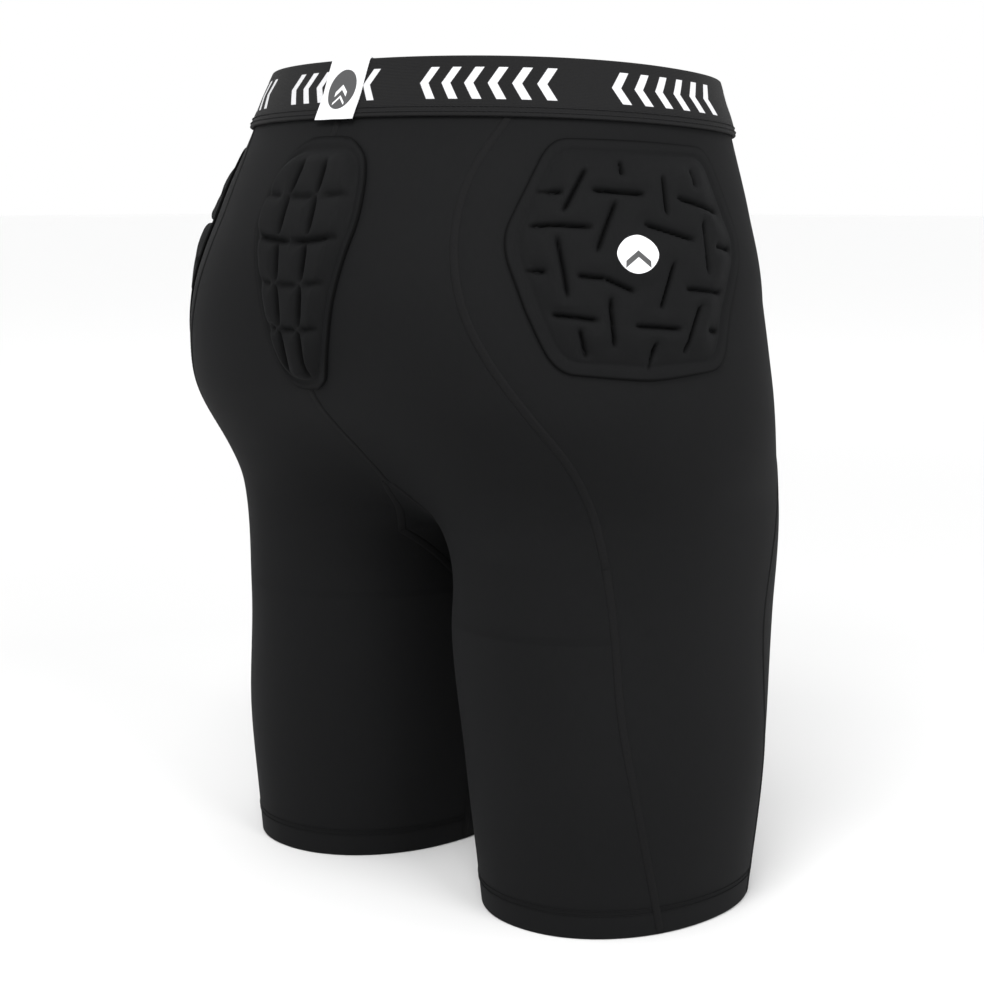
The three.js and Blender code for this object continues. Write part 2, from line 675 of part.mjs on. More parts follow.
// Rings inside the hip pad's outline: the first ones at set distances from the rim, the rest at
// shares of what is left.
function hipRings(side, distances, shares, low, high) {
  const radius = ([across, up]) => Math.hypot(across, up);
  const loop = [...HIP_OUTLINE, HIP_OUTLINE[0]];
  const deepest = distances[distances.length - 1];
  const spot = (corner, inset, share) => {
    const keep = (radius(corner) - inset) / radius(corner) * share;
    const z = hipMiddleZ + corner[1] * keep;
    const inside = inset + (radius(corner) - inset) * (1 - share);
    return {
      side,
      arc: hipMiddleArc(z) + corner[0] * keep,
      z,
      low: low(inside),
      high: high(inside),
    };
  };
  return [
    ...distances.map((inset) => loop.map((corner) => spot(corner, inset, 1))),
    ...shares.map((share) => loop.map((corner) => spot(corner, deepest, share))),
  ];
}

const HIP_RAMP = 15;
// A facet stands off a curved panel by the square of its length.
const hipBase = (HIP_PAD_HEIGHT / PAD_BASE_REACH) ** 2;
const hipCoreTop = (inside) => hipBase + domed(inside - HIP_PAD_FLANGE, HIP_PAD_THICKNESS, HIP_RAMP);
const hipCoverLow = (inside) => (
  inside < HIP_PAD_FLANGE - 1 ? hipBase : hipCoreTop(inside) + GAP
);
const HIP_SHARES = [0.74, 0.48, 0.24, 0];
const backingTop = -KNIT - 1.5 * LINING_GAP;

for (const [side, word] of SIDES) {
  const f = HIP_PAD_FLANGE;
  slab(`hip_pad_core_${word}`, FOAM_MATERIAL, [
    hipRings(side, [f, f + 6, f + HIP_RAMP], HIP_SHARES, () => hipBase, hipCoreTop),
  ]);
  slab(`hip_pad_cover_${word}`, COVER_MATERIAL, [
    hipRings(side, [0, f - 2, f - 0.4, f + 6, f + HIP_RAMP], HIP_SHARES, hipCoverLow,
      (inside) => hipCoverLow(inside) + PAD_SKIN),
  ]);
  slab(`hip_pad_backing_${word}`, LINING_MATERIAL, [
    hipRings(side, [6], [0.82, 0.62, 0.36, 0], () => backingTop - BACKING_THICKNESS, () => backingTop),
  ]);
  const emblemLow = hipCoreTop(HIP_PAD_HEIGHT) + 2 * GAP + PAD_SKIN;
  slab(`hip_emblem_${word}`, EMBLEM_MATERIAL, [
    disc(side, oval(EMBLEM_HALF_WIDTH, EMBLEM_HALF_HEIGHT, 20), hipMiddleArc, hipMiddleZ + 6,
      [1, 0.5, 0], emblemLow, emblemLow + EMBLEM_THICKNESS),
  ]);
}

// The tailbone pad: half its width and the distance of its two upright grooves from the middle,
// both by height as a share of its own height.
const tailLevel = (share) => 1 + (TAIL_FOOT + share * TAIL_PAD_HEIGHT - INSEAM) / RISE;
const tailRows = [
  [0, 13, 6], [0.06, 18, 6.5], [0.18, 24, 7], [0.36, 30.5, 9], [0.53, 37, 11],
  [0.66, 41, 11.5], [0.8, 38.5, 10], [0.9, 33, 8.5], [1, 25, 8],
].map(([share, half, groove]) => [tailLevel(share), half, groove]);
const tailHalf = curve(tailRows, 1);
const tailGroove = curve(tailRows, 2);
const TAIL_GROOVE_ROWS = [0.255, 0.425, 0.59, 0.75]; // grooves that run across

const TAIL_RAMP = 2.6;
function tailGrid(inset, low, high) {
  const f = TAIL_PAD_FLANGE;
  const foot = TAIL_FOOT;
  const top = TAIL_FOOT + TAIL_PAD_HEIGHT;
  const steps = [0, f - 1.6, f - 0.4, f, f + TAIL_RAMP].filter((d) => d >= inset);
  const grooves = TAIL_GROOVE_ROWS.map((share) => foot + share * TAIL_PAD_HEIGHT);
  const middles = [foot + f + TAIL_RAMP, ...grooves, top - f - TAIL_RAMP];
  const rows = [
    ...steps.map((d) => [foot + d, false]),
    ...grooves.flatMap((z, i) => [
      [(middles[i] + z) / 2, false], [z - TAIL_GROOVE, false], [z, true], [z + TAIL_GROOVE, false],
    ]),
    [(middles[4] + middles[5]) / 2, false],
    ...steps.map((d) => [top - d, false]).reverse(),
  ];
  return rows.map(([z, across]) => {
    const half = tailHalf(z);
    const flat = half - f - TAIL_RAMP;
    const groove = Math.min(tailGroove(z), flat - 2 * TAIL_GROOVE);
    const columns = [
      [0, false], [groove - TAIL_GROOVE, false], [groove, true], [groove + TAIL_GROOVE, false],
      ...steps.map((d) => [half - d, false]).reverse(),
    ];
    const both = [...columns.slice(1).reverse().map(([c, g]) => [-c, g]), ...columns];
    return both.map(([arc, along]) => {
      const inside = Math.min(half - Math.abs(arc), z - foot, top - z);
      const cut = (across || along) && inside >= f + TAIL_RAMP - 1e-6 ? TAIL_GROOVE_DEPTH : 0;
      return { side: 1, arc, z, low: low(inside, cut), high: high(inside, cut) };
    });
  });
}

const tailCoreTop = (inside, cut) => (
  PAD_BASE_GAP + domed(inside - TAIL_PAD_FLANGE, TAIL_PAD_THICKNESS, TAIL_RAMP) - cut
);
const tailCoverLow = (inside, cut) => (
  inside < TAIL_PAD_FLANGE - 1 ? PAD_BASE_GAP : tailCoreTop(inside, cut) + GAP
);
slab("tail_pad_core", FOAM_MATERIAL, [
  tailGrid(TAIL_PAD_FLANGE, () => PAD_BASE_GAP, tailCoreTop),
]);
slab("tail_pad_cover", COVER_MATERIAL, [
  tailGrid(0, tailCoverLow, (inside, cut) => tailCoverLow(inside, cut) + PAD_SKIN),
]);
const backingRows = spread(TAIL_FOOT + 4, TAIL_FOOT + TAIL_PAD_HEIGHT - 4, 12);
const backingEdge = (sign) => (z) => sign * (tailHalf(z) - 3);
slab("tail_pad_backing", LINING_MATERIAL, [
  grid(1, backingRows, backingEdge(-1), backingEdge(1), 6, backingTop - BACKING_THICKNESS, backingTop),
]);

// ---- Frame ---------------------------------------------------------------------------------

// The origin is the middle of the footprint: the group slides until its depth is centred.
const box = new THREE.Box3().setFromObject(group);
const shift = (box.min.y + box.max.y) / 2;
group.children.forEach((mesh) => mesh.geometry.translate(0, -shift, 0));

export default group;
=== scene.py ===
# %% [markdown]
# # Padded impact shorts
# These are close-fitting knitted shorts with three moulded pads: one over each hip and one over
# the tailbone. The cloth is stretched over a body, so its shape is the body's shape. We work
# that shape out once, as a formula, and then cut every piece of cloth, seam and pad from it.

import math

import bmesh
import bpy
import numpy as np
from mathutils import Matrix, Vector


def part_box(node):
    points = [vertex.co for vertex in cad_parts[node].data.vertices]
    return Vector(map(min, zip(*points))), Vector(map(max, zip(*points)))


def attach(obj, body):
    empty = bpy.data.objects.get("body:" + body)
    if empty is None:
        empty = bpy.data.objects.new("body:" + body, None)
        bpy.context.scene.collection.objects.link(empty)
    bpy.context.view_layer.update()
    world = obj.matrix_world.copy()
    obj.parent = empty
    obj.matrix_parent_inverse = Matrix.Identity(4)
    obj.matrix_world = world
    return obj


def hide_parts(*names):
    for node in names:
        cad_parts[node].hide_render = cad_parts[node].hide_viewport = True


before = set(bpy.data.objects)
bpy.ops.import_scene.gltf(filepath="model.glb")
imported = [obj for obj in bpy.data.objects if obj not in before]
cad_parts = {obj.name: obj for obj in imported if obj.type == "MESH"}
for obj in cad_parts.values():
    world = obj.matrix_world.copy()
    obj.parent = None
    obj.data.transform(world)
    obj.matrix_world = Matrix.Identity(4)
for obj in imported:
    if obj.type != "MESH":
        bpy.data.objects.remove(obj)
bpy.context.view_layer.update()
print("nodes in the frame:", len(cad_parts))

# %% [markdown]
# ## The body form
# A garment maker works from a size chart: how wide and how deep the body is at each height. The
# chart here has one list of rows for the trunk and one for a leg. Each row is an ellipse, a
# little squared off. A smooth curve joins the rows. The two legs and the trunk then blend into
# one closed skin, the way drops of water run together.
#
# The levels of the rows were chosen. The widths and depths were not: a separate least-squares
# program worked them out, together with the lean of the waist and the camera, so that the form's
# outline matches that of the real garment. Its results were divided by the hip sizes and rounded
# to three decimals. Only the last three front depths of the trunk were changed afterwards. The
# inseam is the height of its crotch, and the hip width is its widest row.

# %% Sizes, in millimetres
INSEAM, RISE = 207.0, 263.0
HIP_WIDTH, HIP_DEPTH = 173.0, 126.0
WAIST_TILT = 0.057
BAND_HEIGHT, PANEL_OVERLAP = 32.0, 7.0
TOP = INSEAM + RISE
BAND_FOOT = TOP - BAND_HEIGHT
PANEL_TOP = BAND_FOOT + PANEL_OVERLAP
HEM_DEPTH = 17.0
KNIT = 1.2
HIP_PAD_HEIGHT, HIP_PAD_DROP = 121.0, 10.0
TAIL_HEIGHT, TAIL_DROP = 130.0, 9.5

# Level, half width, depth behind and depth in front
TRUNK = np.array([
    [1.057, 0.725, 0.575, 0.594], [1.163, 0.877, 0.744, 0.739], [1.354, 0.972, 1.129, 0.816],
    [1.62, 1.0, 1.18, 0.822], [1.878, 0.884, 0.94, 0.835], [2.0, 0.792, 0.841, 0.885],
])
# Level, middle across, middle front to back, half width, depth behind and depth in front
LEG = np.array([
    [0.0, 0.571, -0.055, 0.408, 0.699, 0.634], [0.386, 0.561, -0.017, 0.468, 0.692, 0.745],
    [0.773, 0.516, -0.042, 0.455, 0.773, 0.924], [1.087, 0.549, -0.032, 0.447, 0.771, 0.904],
    [1.316, 0.528, 0.079, 0.502, 0.874, 0.784], [1.525, 0.475, 0.118, 0.447, 0.894, 0.666],
])


def level(share):
    """Height of a level: 0 is the hem, 1 the crotch and 2 the top of the waistband."""
    share = np.asarray(share, float)
    return np.where(share <= 1, share * INSEAM, INSEAM + (share - 1) * RISE)


def curve(levels, values):
    """A cubic through the rows. Its slope at a row is the rise from the row before it to the row
    after it, divided by their distance, so the curve has no kink."""
    z, v = level(levels), np.asarray(values, float)
    ahead, behind = np.minimum(np.arange(len(z)) + 1, len(z) - 1), np.maximum(np.arange(len(z)) - 1, 0)
    slope = (v[ahead] - v[behind]) / (z[ahead] - z[behind])

    def at(height):
        height = np.clip(height, z[0], z[-1])
        i = np.clip(np.searchsorted(z, height, side="right") - 1, 0, len(z) - 2)
        h = z[i + 1] - z[i]
        t = (height - z[i]) / h
        rise = t * t * (3 - 2 * t)
        return ((1 - rise) * v[i] + rise * v[i + 1]
                + t * (1 - t) ** 2 * h * slope[i] - t * t * (1 - t) * h * slope[i + 1])

    return at


trunk_width = curve(TRUNK[:, 0], TRUNK[:, 1] * HIP_WIDTH)
trunk_back = curve(TRUNK[:, 0], TRUNK[:, 2] * HIP_DEPTH)
trunk_front = curve(TRUNK[:, 0], TRUNK[:, 3] * HIP_DEPTH)
leg_across = curve(LEG[:, 0], LEG[:, 1] * HIP_WIDTH)
leg_along = curve(LEG[:, 0], LEG[:, 2] * HIP_DEPTH)
leg_width = curve(LEG[:, 0], LEG[:, 3] * HIP_WIDTH)
leg_back = curve(LEG[:, 0], LEG[:, 4] * HIP_DEPTH)
leg_front = curve(LEG[:, 0], LEG[:, 5] * HIP_DEPTH)
print("a plain ellipse of the hip sizes is", round(math.pi * (HIP_WIDTH + HIP_DEPTH)), "mm round")

# %% The skin as a formula
LEG_POWER, TRUNK_POWER = 2.1, 2.2  # 2 is an ellipse, and more is squarer
END_REACH, LEGS_REACH, TRUNK_REACH = 40.0, 24.0, 50.0  # how far the blends reach


def smooth_min(a, b, reach):
    """The smaller of two values, rounded off where they are closer than the reach."""
    h = np.maximum(reach - np.abs(a - b), 0) / reach
    return np.minimum(a, b) - h * h * reach / 4


def outside(dx, dy, a, b, power):
    """Distance from the middle, times one minus one over the ellipse's own size number there."""
    rho = (np.abs(dx / a) ** power + np.abs(dy / b) ** power) ** (1 / power) + 1e-9
    return np.hypot(dx, dy) * (1 - 1 / rho)


def leg_form(x, y, z):
    """The tube of one leg, closed at its upper end."""
    along = leg_along(z)
    tube = outside(x - leg_across(z), y - along, leg_width(z),
                   np.where(y > along, leg_back(z), leg_front(z)), LEG_POWER)
    return -smooth_min(-tube, level(LEG[-1, 0]) - z, END_REACH)


def form(x, y, z):
    """Below zero inside the body, above zero outside: both legs and the trunk, blended."""
    legs = smooth_min(leg_form(x, y, z), leg_form(-x, y, z), LEGS_REACH)
    depth = np.where(y > 0, trunk_back(z), trunk_front(z))
    tube = outside(x, y, trunk_width(z), depth, TRUNK_POWER)
    trunk = -smooth_min(-tube, z - level(TRUNK[0, 0]), END_REACH)
    return smooth_min(legs, trunk, TRUNK_REACH)


def crossing(f, low, high, steps=32):
    """Halves the interval again and again, always keeping the half where f changes sign."""
    low, high = np.array(low, float), np.array(high, float)
    for _ in range(steps):
        middle = (low + high) / 2
        inside = f(middle) < 0
        low, high = np.where(inside, middle, low), np.where(inside, high, middle)
    return (low + high) / 2


SADDLE_Y = -0.048 * HIP_DEPTH
CROTCH = float(INSEAM + 40 - crossing(lambda drop: form(0.0, SADDLE_Y, INSEAM + 40 - drop), 0, 80))
print("crotch at", round(CROTCH, 2), "mm")

# %% [markdown]
# ## A chart of the skin
# To place a seam on the skin we need an address for every point. We use the height, and the
# distance walked round the body at that height, starting from the middle of the back. Below the
# crotch the walk starts on the inside of the thigh. The chart stores, for each height, how the
# distance grows with the angle.

# %% Rings and the chart


def spine_x(z):
    """Where the rays of a ring start: the middle of the leg, drifting inwards above the crotch."""
    t = np.clip((z - CROTCH) / (TOP - CROTCH), 0, 1)
    return leg_across(np.minimum(z, CROTCH)) * (1 - t) + 0.45 * trunk_width(TOP) * t


FAR_OUT = 260.0  # farther from the spine than any point of the skin


def ring_point(angle, z):
    """Follows a ray from the spine until the form changes sign, never past the middle plane."""
    dx, dy = -np.cos(angle), np.sin(angle)
    start = spine_x(z)
    far = np.where(dx < -1e-6, np.minimum(FAR_OUT, start / np.maximum(-dx, 1e-6)), FAR_OUT)
    reach = crossing(lambda r: form(start + dx * r, SADDLE_Y + dy * r, z), far * 0, far)
    return start + dx * reach, SADDLE_Y + dy * reach


GUSSET_DOWN, GUSSET_UP, POUCH_UP = 42.0, 40.0, 36.0
GUSSET_FOOT, GUSSET_TOP, POUCH_FOOT = CROTCH - GUSSET_DOWN, CROTCH + GUSSET_UP, CROTCH + POUCH_UP
near = np.linspace(0, 1, 17) ** 1.7
ROWS = np.concatenate([
    [0], np.linspace(1, HEM_DEPTH, 8), np.linspace(HEM_DEPTH, GUSSET_FOOT, 60)[1:],
    (CROTCH - GUSSET_DOWN * near[::-1])[1:], CROTCH + POUCH_UP * near[1:], [GUSSET_TOP],
    np.linspace(GUSSET_TOP, BAND_FOOT, 86)[1:], np.linspace(BAND_FOOT, TOP, 17)[1:],
])
STEPS = 240
start_angle, end_angle = np.zeros(len(ROWS)), np.full(len(ROWS), 2 * math.pi)
high = ROWS > CROTCH
reach_back = crossing(lambda d: form(0.0, SADDLE_Y + d, ROWS[high]), ROWS[high] * 0, ROWS[high] * 0 + 220)
reach_front = crossing(lambda d: form(0.0, SADDLE_Y - d, ROWS[high]), ROWS[high] * 0, ROWS[high] * 0 + 220)
start_angle[high] = np.arctan2(reach_back, spine_x(ROWS[high]))
end_angle[high] -= np.arctan2(reach_front, spine_x(ROWS[high]))
chart_angle = start_angle[:, None] + (end_angle - start_angle)[:, None] * np.linspace(0, 1, STEPS + 1)
chart_x, chart_y = ring_point(chart_angle, ROWS[:, None])
step_length = np.hypot(np.diff(chart_x, axis=1), np.diff(chart_y, axis=1))
chart_arc = np.concatenate([np.zeros((len(ROWS), 1)), np.cumsum(step_length, axis=1)], axis=1)
LENGTH = chart_arc[:, -1]
even = np.linspace(0, 1, STEPS + 1)
share_angle = np.array([np.interp(even * a[-1], a, g) for a, g in zip(chart_arc, chart_angle)])
print("rows:", len(ROWS), " half girth at the hips:", round(LENGTH[ROWS.searchsorted(370)]), "mm")

# %% From an address to a point


def ring_length(z):
    """The walk from the middle of the back to the middle of the front at a height."""
    return np.interp(z, ROWS, LENGTH)


def normal_at(x, y, z):
    """The direction in which the form grows fastest, laid level near the hem and the waist so
    that the edges there are cut straight."""
    e = 0.05
    flat = np.clip(z / 60, 0, 1), np.clip((TOP - z) / 60, 0, 1)
    keep = np.prod([t * t * (3 - 2 * t) for t in np.broadcast_arrays(*flat)], axis=0)
    n = np.stack(np.broadcast_arrays(
        form(x + e, y, z) - form(x - e, y, z), form(x, y + e, z) - form(x, y - e, z),
        (form(x, y, z + e) - form(x, y, z - e)) * keep), axis=-1)
    return n / np.linalg.norm(n, axis=-1, keepdims=True)


def skin(side, arc, z):
    """Looks up the angle for a distance and a height, and follows the ray there. A distance past
    either end of the ring runs on over the middle plane. Gives the point and its normal."""
    arc, z = np.broadcast_arrays(np.asarray(arc, float), np.asarray(z, float))
    length = ring_length(z)
    over = (arc < 0) | (arc > length)
    walk = np.where(arc < 0, -arc, np.where(arc > length, 2 * length - arc, arc))
    k = np.clip(np.searchsorted(ROWS, z, side="right") - 1, 0, len(ROWS) - 2)
    t = (z - ROWS[k]) / (ROWS[k + 1] - ROWS[k])
    g = np.clip(walk / length * STEPS, 0, STEPS)
    j = np.minimum(g.astype(int), STEPS - 1)
    f = g - j
    angle = ((1 - t) * ((1 - f) * share_angle[k, j] + f * share_angle[k, j + 1])
             + t * ((1 - f) * share_angle[k + 1, j] + f * share_angle[k + 1, j + 1]))
    x, y = ring_point(angle, z)
    n = normal_at(x, y, z)
    sign = np.where(over, -side, side)
    n[..., 0] *= sign
    return np.stack([sign * x, y, z], axis=-1), n


def arc_at(half_turns):
    """The distance at which each row of the chart reaches a direction, given in half turns about
    a spine that is averaged over 90 mm of height, so that no seam bends sharply at the crotch."""
    middle = np.mean([spine_x(ROWS + d) for d in np.linspace(-45, 45, 13)], axis=0)
    turned = np.unwrap(np.arctan2(chart_y - SADDLE_Y, middle[:, None] - chart_x), axis=1)
    turned += 2 * np.pi * (turned[:, -1:] < np.pi)
    return np.array([np.interp(h * np.pi, g, a) for h, g, a in zip(half_turns, turned, chart_arc)])


def arc_at_width(width, front):
    """The distance at which each row stands a given width from the middle plane."""
    found = []
    for w, x, a, g in zip(width, chart_x, chart_arc, chart_angle):
        near_end = g > 1.5 * math.pi if front else g < 0.5 * math.pi
        order = np.argsort(x[near_end])
        found.append(np.interp(w, x[near_end][order], a[near_end][order]))
    return np.array(found)


band_back = float(skin(1, 0.0, np.array([BAND_FOOT, PANEL_TOP, TOP]))[0][:, 1].max())
shift = band_back + 2.5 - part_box("waistband_elastic")[1].y * 1000
print("the frame lies", round(shift, 2), "mm in front of the body's own middle")


LEAN_START = float(level(1.354))


def place(point, normal, depth):
    """Goes out along the normal, leans the waist back, and turns millimetres into metres."""
    p = point + normal * np.broadcast_to(depth, point.shape[:-1])[..., None]
    t = np.clip((p[..., 2] - LEAN_START) / (TOP - LEAN_START), 0, 1)
    z = p[..., 2] + WAIST_TILT * p[..., 1] * t * t * (3 - 2 * t)
    return np.stack([p[..., 0], p[..., 1] - shift, z], axis=-1) / 1000


# %% [markdown]
# ## Seam lines
# The shorts are cut in three panels a side. The seam behind the hip starts under the waistband,
# swings towards the back over the seat, and comes round the outside of the thigh to the hem. In
# front, a pouch fills the middle. A kite of cloth, the gusset, is let in at the crotch, so that
# four seams never meet in one point there.

# %% Seam lines on the chart
# A line is given by levels and, at each, the direction from the middle of the body in half turns
# from the inside of the thigh. The back seam was measured on the fitted form and rounded. The
# front seam and the pouch were chosen.
GUSSET_HALF, POUCH_HALF = 20.0, 8.0
back_seam = arc_at(curve(
    [0, 0.25, 0.55, 0.82, 1.06, 1.21, 1.32, 1.43, 1.54, 1.68, 1.78, 1.88, 2],
    [0.825, 0.78, 0.747, 0.733, 0.706, 0.674, 0.634, 0.596, 0.57, 0.558, 0.572, 0.615, 0.68],
)(ROWS))
front_seam = arc_at(curve([0, 0.6, 1, 1.5, 2], [1.2, 1.21, 1.25, 1.34, 1.37])(ROWS))
thigh_inside = float(ring_point(0.0, GUSSET_FOOT)[0])
down = np.clip((ROWS - GUSSET_FOOT) / GUSSET_DOWN, 0, 1)
leg_edge = thigh_inside + (GUSSET_HALF - thigh_inside) * down
back_share = np.clip((GUSSET_TOP - ROWS) / GUSSET_UP, 0, 1)
front_share = np.clip((ROWS - CROTCH) / POUCH_UP, 0, 1)
back_edge = np.where(ROWS <= CROTCH, leg_edge, GUSSET_HALF * back_share)
front_edge = np.where(ROWS <= CROTCH, leg_edge, GUSSET_HALF - (GUSSET_HALF - POUCH_HALF) * front_share)
pouch_curve = curve([1.13, 1.3, 1.5, 1.75, 2], [0, 34, 50, 52, 48])
pouch_growth = np.maximum(pouch_curve(ROWS) - pouch_curve(POUCH_FOOT), 0)
front_edge = np.where(ROWS > POUCH_FOOT, POUCH_HALF + pouch_growth, front_edge)
in_gusset = (ROWS > GUSSET_FOOT + 1e-6) & (ROWS < GUSSET_TOP - 1e-6)
gusset_line = np.where(in_gusset, arc_at_width(back_edge, False), 0.0)
pouch_line = np.where(ROWS > GUSSET_FOOT + 1e-6, arc_at_width(front_edge, True), LENGTH)
print("pouch is", round(2 * (pouch_growth.max() + POUCH_HALF)), "mm wide")

# %% [markdown]
# ## Making a mesh from a grid
# Nearly every piece is a sheet with a thickness: an outer grid of points, an inner grid, and a
# wall round the rim. One function turns two such grids into a closed mesh. It also writes a UV
# map in metres, measured along the cloth, so that a knit keeps its scale on every piece.

# %% Mesh builders
materials = {}


def finish_piece(obj, material, nodes):
    """Smooth shading up to sharp corners, a material, and the frame's book-keeping."""
    obj.data.polygons.foreach_set("use_smooth", np.ones(len(obj.data.polygons), bool))
    obj.data.set_sharp_from_angle(angle=math.radians(48))
    obj.data.materials.append(materials[material])
    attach(obj, "root")
    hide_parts(*nodes)
    return obj


def mesh_from(name, points, faces, uv):
    """Puts arrays into a mesh: points in metres, faces as rows of four numbers, uv per corner."""
    mesh = bpy.data.meshes.new(name)
    mesh.vertices.add(len(points))
    mesh.vertices.foreach_set("co", np.ascontiguousarray(points, np.float32).ravel())
    mesh.loops.add(faces.size)
    mesh.loops.foreach_set("vertex_index", faces.astype(np.int32).ravel())
    mesh.polygons.add(len(faces))
    mesh.polygons.foreach_set("loop_start", np.arange(0, faces.size, 4, dtype=np.int32))
    layer = mesh.uv_layers.new(name="cloth")
    layer.data.foreach_set("uv", np.ascontiguousarray(uv, np.float32).ravel())
    mesh.update(calc_edges=True)
    mesh.validate()
    obj = bpy.data.objects.new(name, mesh)
    bpy.context.scene.collection.objects.link(obj)
    return obj


def quads(rows, columns, wrap=False, wrap_rows=False):
    """Corners of every cell of a grid, as row and column numbers that don't wrap yet."""
    i, j = np.meshgrid(np.arange(rows if wrap_rows else rows - 1),
                       np.arange(columns if wrap else columns - 1), indexing="ij")
    i, j = i.ravel(), j.ravel()
    return np.stack([i, i + 1, i + 1, i], 1), np.stack([j, j, j + 1, j + 1], 1)


def sheet_mesh(name, outer, inner, uv, wrap=False, flip=False):
    """Two grids and the walls between their rims. The inner grid is the outer one's twin."""
    rows, columns = outer.shape[:2]
    i, j = quads(rows, columns, wrap)
    top = i * columns + j % columns
    faces, corners = [top], [uv[i, j]]
    faces.append(top[:, ::-1] + rows * columns)
    corners.append(uv[i, j][:, ::-1])
    last = columns if wrap else columns - 1
    rims = [(np.zeros(last, int), np.arange(last), 0, 1, False),
            (np.full(last, rows - 1), np.arange(last), 0, 1, True)]
    if not wrap:
        rims += [(np.arange(rows - 1), np.zeros(rows - 1, int), 1, 0, True),
                 (np.arange(rows - 1), np.full(rows - 1, columns - 1), 1, 0, False)]
    for a, b, da, db, back in rims:
        one = a * columns + b % columns
        two = (a + da) * columns + (b + db) % columns
        wall = np.stack([one, two, two + rows * columns, one + rows * columns], 1)
        corner = np.stack([uv[a, b], uv[a + da, b + db], uv[a + da, b + db], uv[a, b]], 1)
        faces.append(wall[:, ::-1] if back else wall)
        corners.append(corner[:, ::-1] if back else corner)
    faces, corners = np.concatenate(faces), np.concatenate(corners)
    if flip:
        faces, corners = faces[:, ::-1], corners[:, ::-1]
    points = np.concatenate([outer.reshape(-1, 3), inner.reshape(-1, 3)])
    return mesh_from(name, points, faces, corners)


def cut(name, side, rows, arcs, low, high, material, nodes):
    """A piece of the skin between two depths. Its UV, in metres, is the distance from the
    piece's own middle line, and the height."""
    point, normal = skin(side, arcs, rows[:, None])
    across = arcs - arcs.mean(axis=1, keepdims=True)
    uv = np.stack(np.broadcast_arrays(across, rows[:, None]), axis=-1) / 1000
    obj = sheet_mesh(name, place(point, normal, high), place(point, normal, low), uv, False, side < 0)
    print(name, "has", len(obj.data.polygons), "faces")
    return finish_piece(obj, material, nodes)


def between(a, b, columns):
    """Columns at equal steps between two lines."""
    return a[:, None] + (b - a)[:, None] * np.linspace(0, 1, columns)


# %% [markdown]
# ## Shader maths as expressions
# A material is a network of nodes. Written out node by node, a knit pattern fills pages. The
# small class below wraps a socket, so that `a * 2 + 1` adds the two Math nodes for us.

# %% The socket wrapper


class Value:
    """A socket that can be used in sums. Every operator adds one Math node."""

    def __init__(self, shader, socket):
        self.shader, self.socket = shader, socket

    def math(self, operation, *others):
        """Adds one Math node with this value as its first number."""
        return self.shader.add("ShaderNodeMath", {"operation": operation}, [self, *others])

    def __add__(self, other):
        return self.math("ADD", other)

    def __sub__(self, other):
        return self.math("SUBTRACT", other)

    def __rsub__(self, other):
        return (self * -1).math("ADD", other)

    def __mul__(self, other):
        return self.math("MULTIPLY", other)

    def __abs__(self):
        return self.math("ABSOLUTE")

    __radd__, __rmul__ = __add__, __mul__

    def wave(self):
        """The sine of the value, in radians."""
        return self.math("SINE")

    def part(self):
        """The part after the decimal point, which makes a pattern repeat."""
        return self.math("FRACT")

    def soft_step(self, start, end):
        """0 before start, 1 after end, and an even slope between them."""
        t = (self - start) * (1 / (end - start))
        return t.math("MAXIMUM", 0).math("MINIMUM", 1)


class Shader:
    """One material. add() makes any node: its type, its settings, and what goes in."""

    def __init__(self, name):
        self.material = bpy.data.materials.new(name)
        self.material.use_nodes = True
        self.tree = self.material.node_tree
        self.bsdf = self.tree.nodes["Principled BSDF"]
        materials[name] = self.material

    def link(self, target, value):
        """Joins a value to a socket, or sets a plain number or colour on it."""
        if isinstance(value, Value):
            self.tree.links.new(value.socket, target)
        else:
            target.default_value = value

    def add(self, kind, settings=None, inputs=(), output=0):
        """A node of this kind, its settings made first, and the value of one of its outputs."""
        node = self.tree.nodes.new(kind)
        for key, value in (settings or {}).items():
            setattr(node, key, value)
        pairs = inputs.items() if isinstance(inputs, dict) else enumerate(inputs)
        for key, value in pairs:
            self.link(node.inputs[key], value)
        return Value(self, node.outputs[output])

    def cloth(self):
        """The two numbers of the piece's own UV map, in millimetres."""
        uv = self.add("ShaderNodeUVMap", {"uv_map": "cloth"})
        split = self.add("ShaderNodeSeparateXYZ", None, [uv])
        node = split.socket.node
        return Value(self, node.outputs[0]) * 1000, Value(self, node.outputs[1]) * 1000

    def noise(self, scale, detail=3.0, vector=None):
        """Noise on the piece's place in space, or on a given vector."""
        vector = vector or self.add("ShaderNodeTexCoord", None, (), "Object")
        return self.add("ShaderNodeTexNoise", None, {"Vector": vector, "Scale": scale, "Detail": detail})

    def vector(self, x, y, z=0.0):
        """Three values as one vector."""
        return self.add("ShaderNodeCombineXYZ", None, [x, y, z])

    def mix(self, factor, a, b):
        """Colour a where the factor is 0, colour b where it is 1."""
        return self.add("ShaderNodeMix", {"data_type": "RGBA"}, {0: factor, 6: a, 7: b}, 2)

    def surface(self, colour, roughness, height=None, depth=0.0002, **constants):
        """Feeds the main shader: colour, roughness, a bump of a depth in metres, and constants."""
        self.link(self.bsdf.inputs["Base Color"], colour)
        self.link(self.bsdf.inputs["Roughness"], roughness)
        if height is not None:
            bump = self.add("ShaderNodeBump", None, {"Strength": 1.0, "Distance": depth, "Height": height})
            self.link(self.bsdf.inputs["Normal"], bump)
        for key, value in constants.items():
            self.bsdf.inputs[key.replace("_", " ").title().replace("Ior", "IOR")].default_value = value
        print("material", self.material.name, "has", len(self.tree.nodes), "nodes")


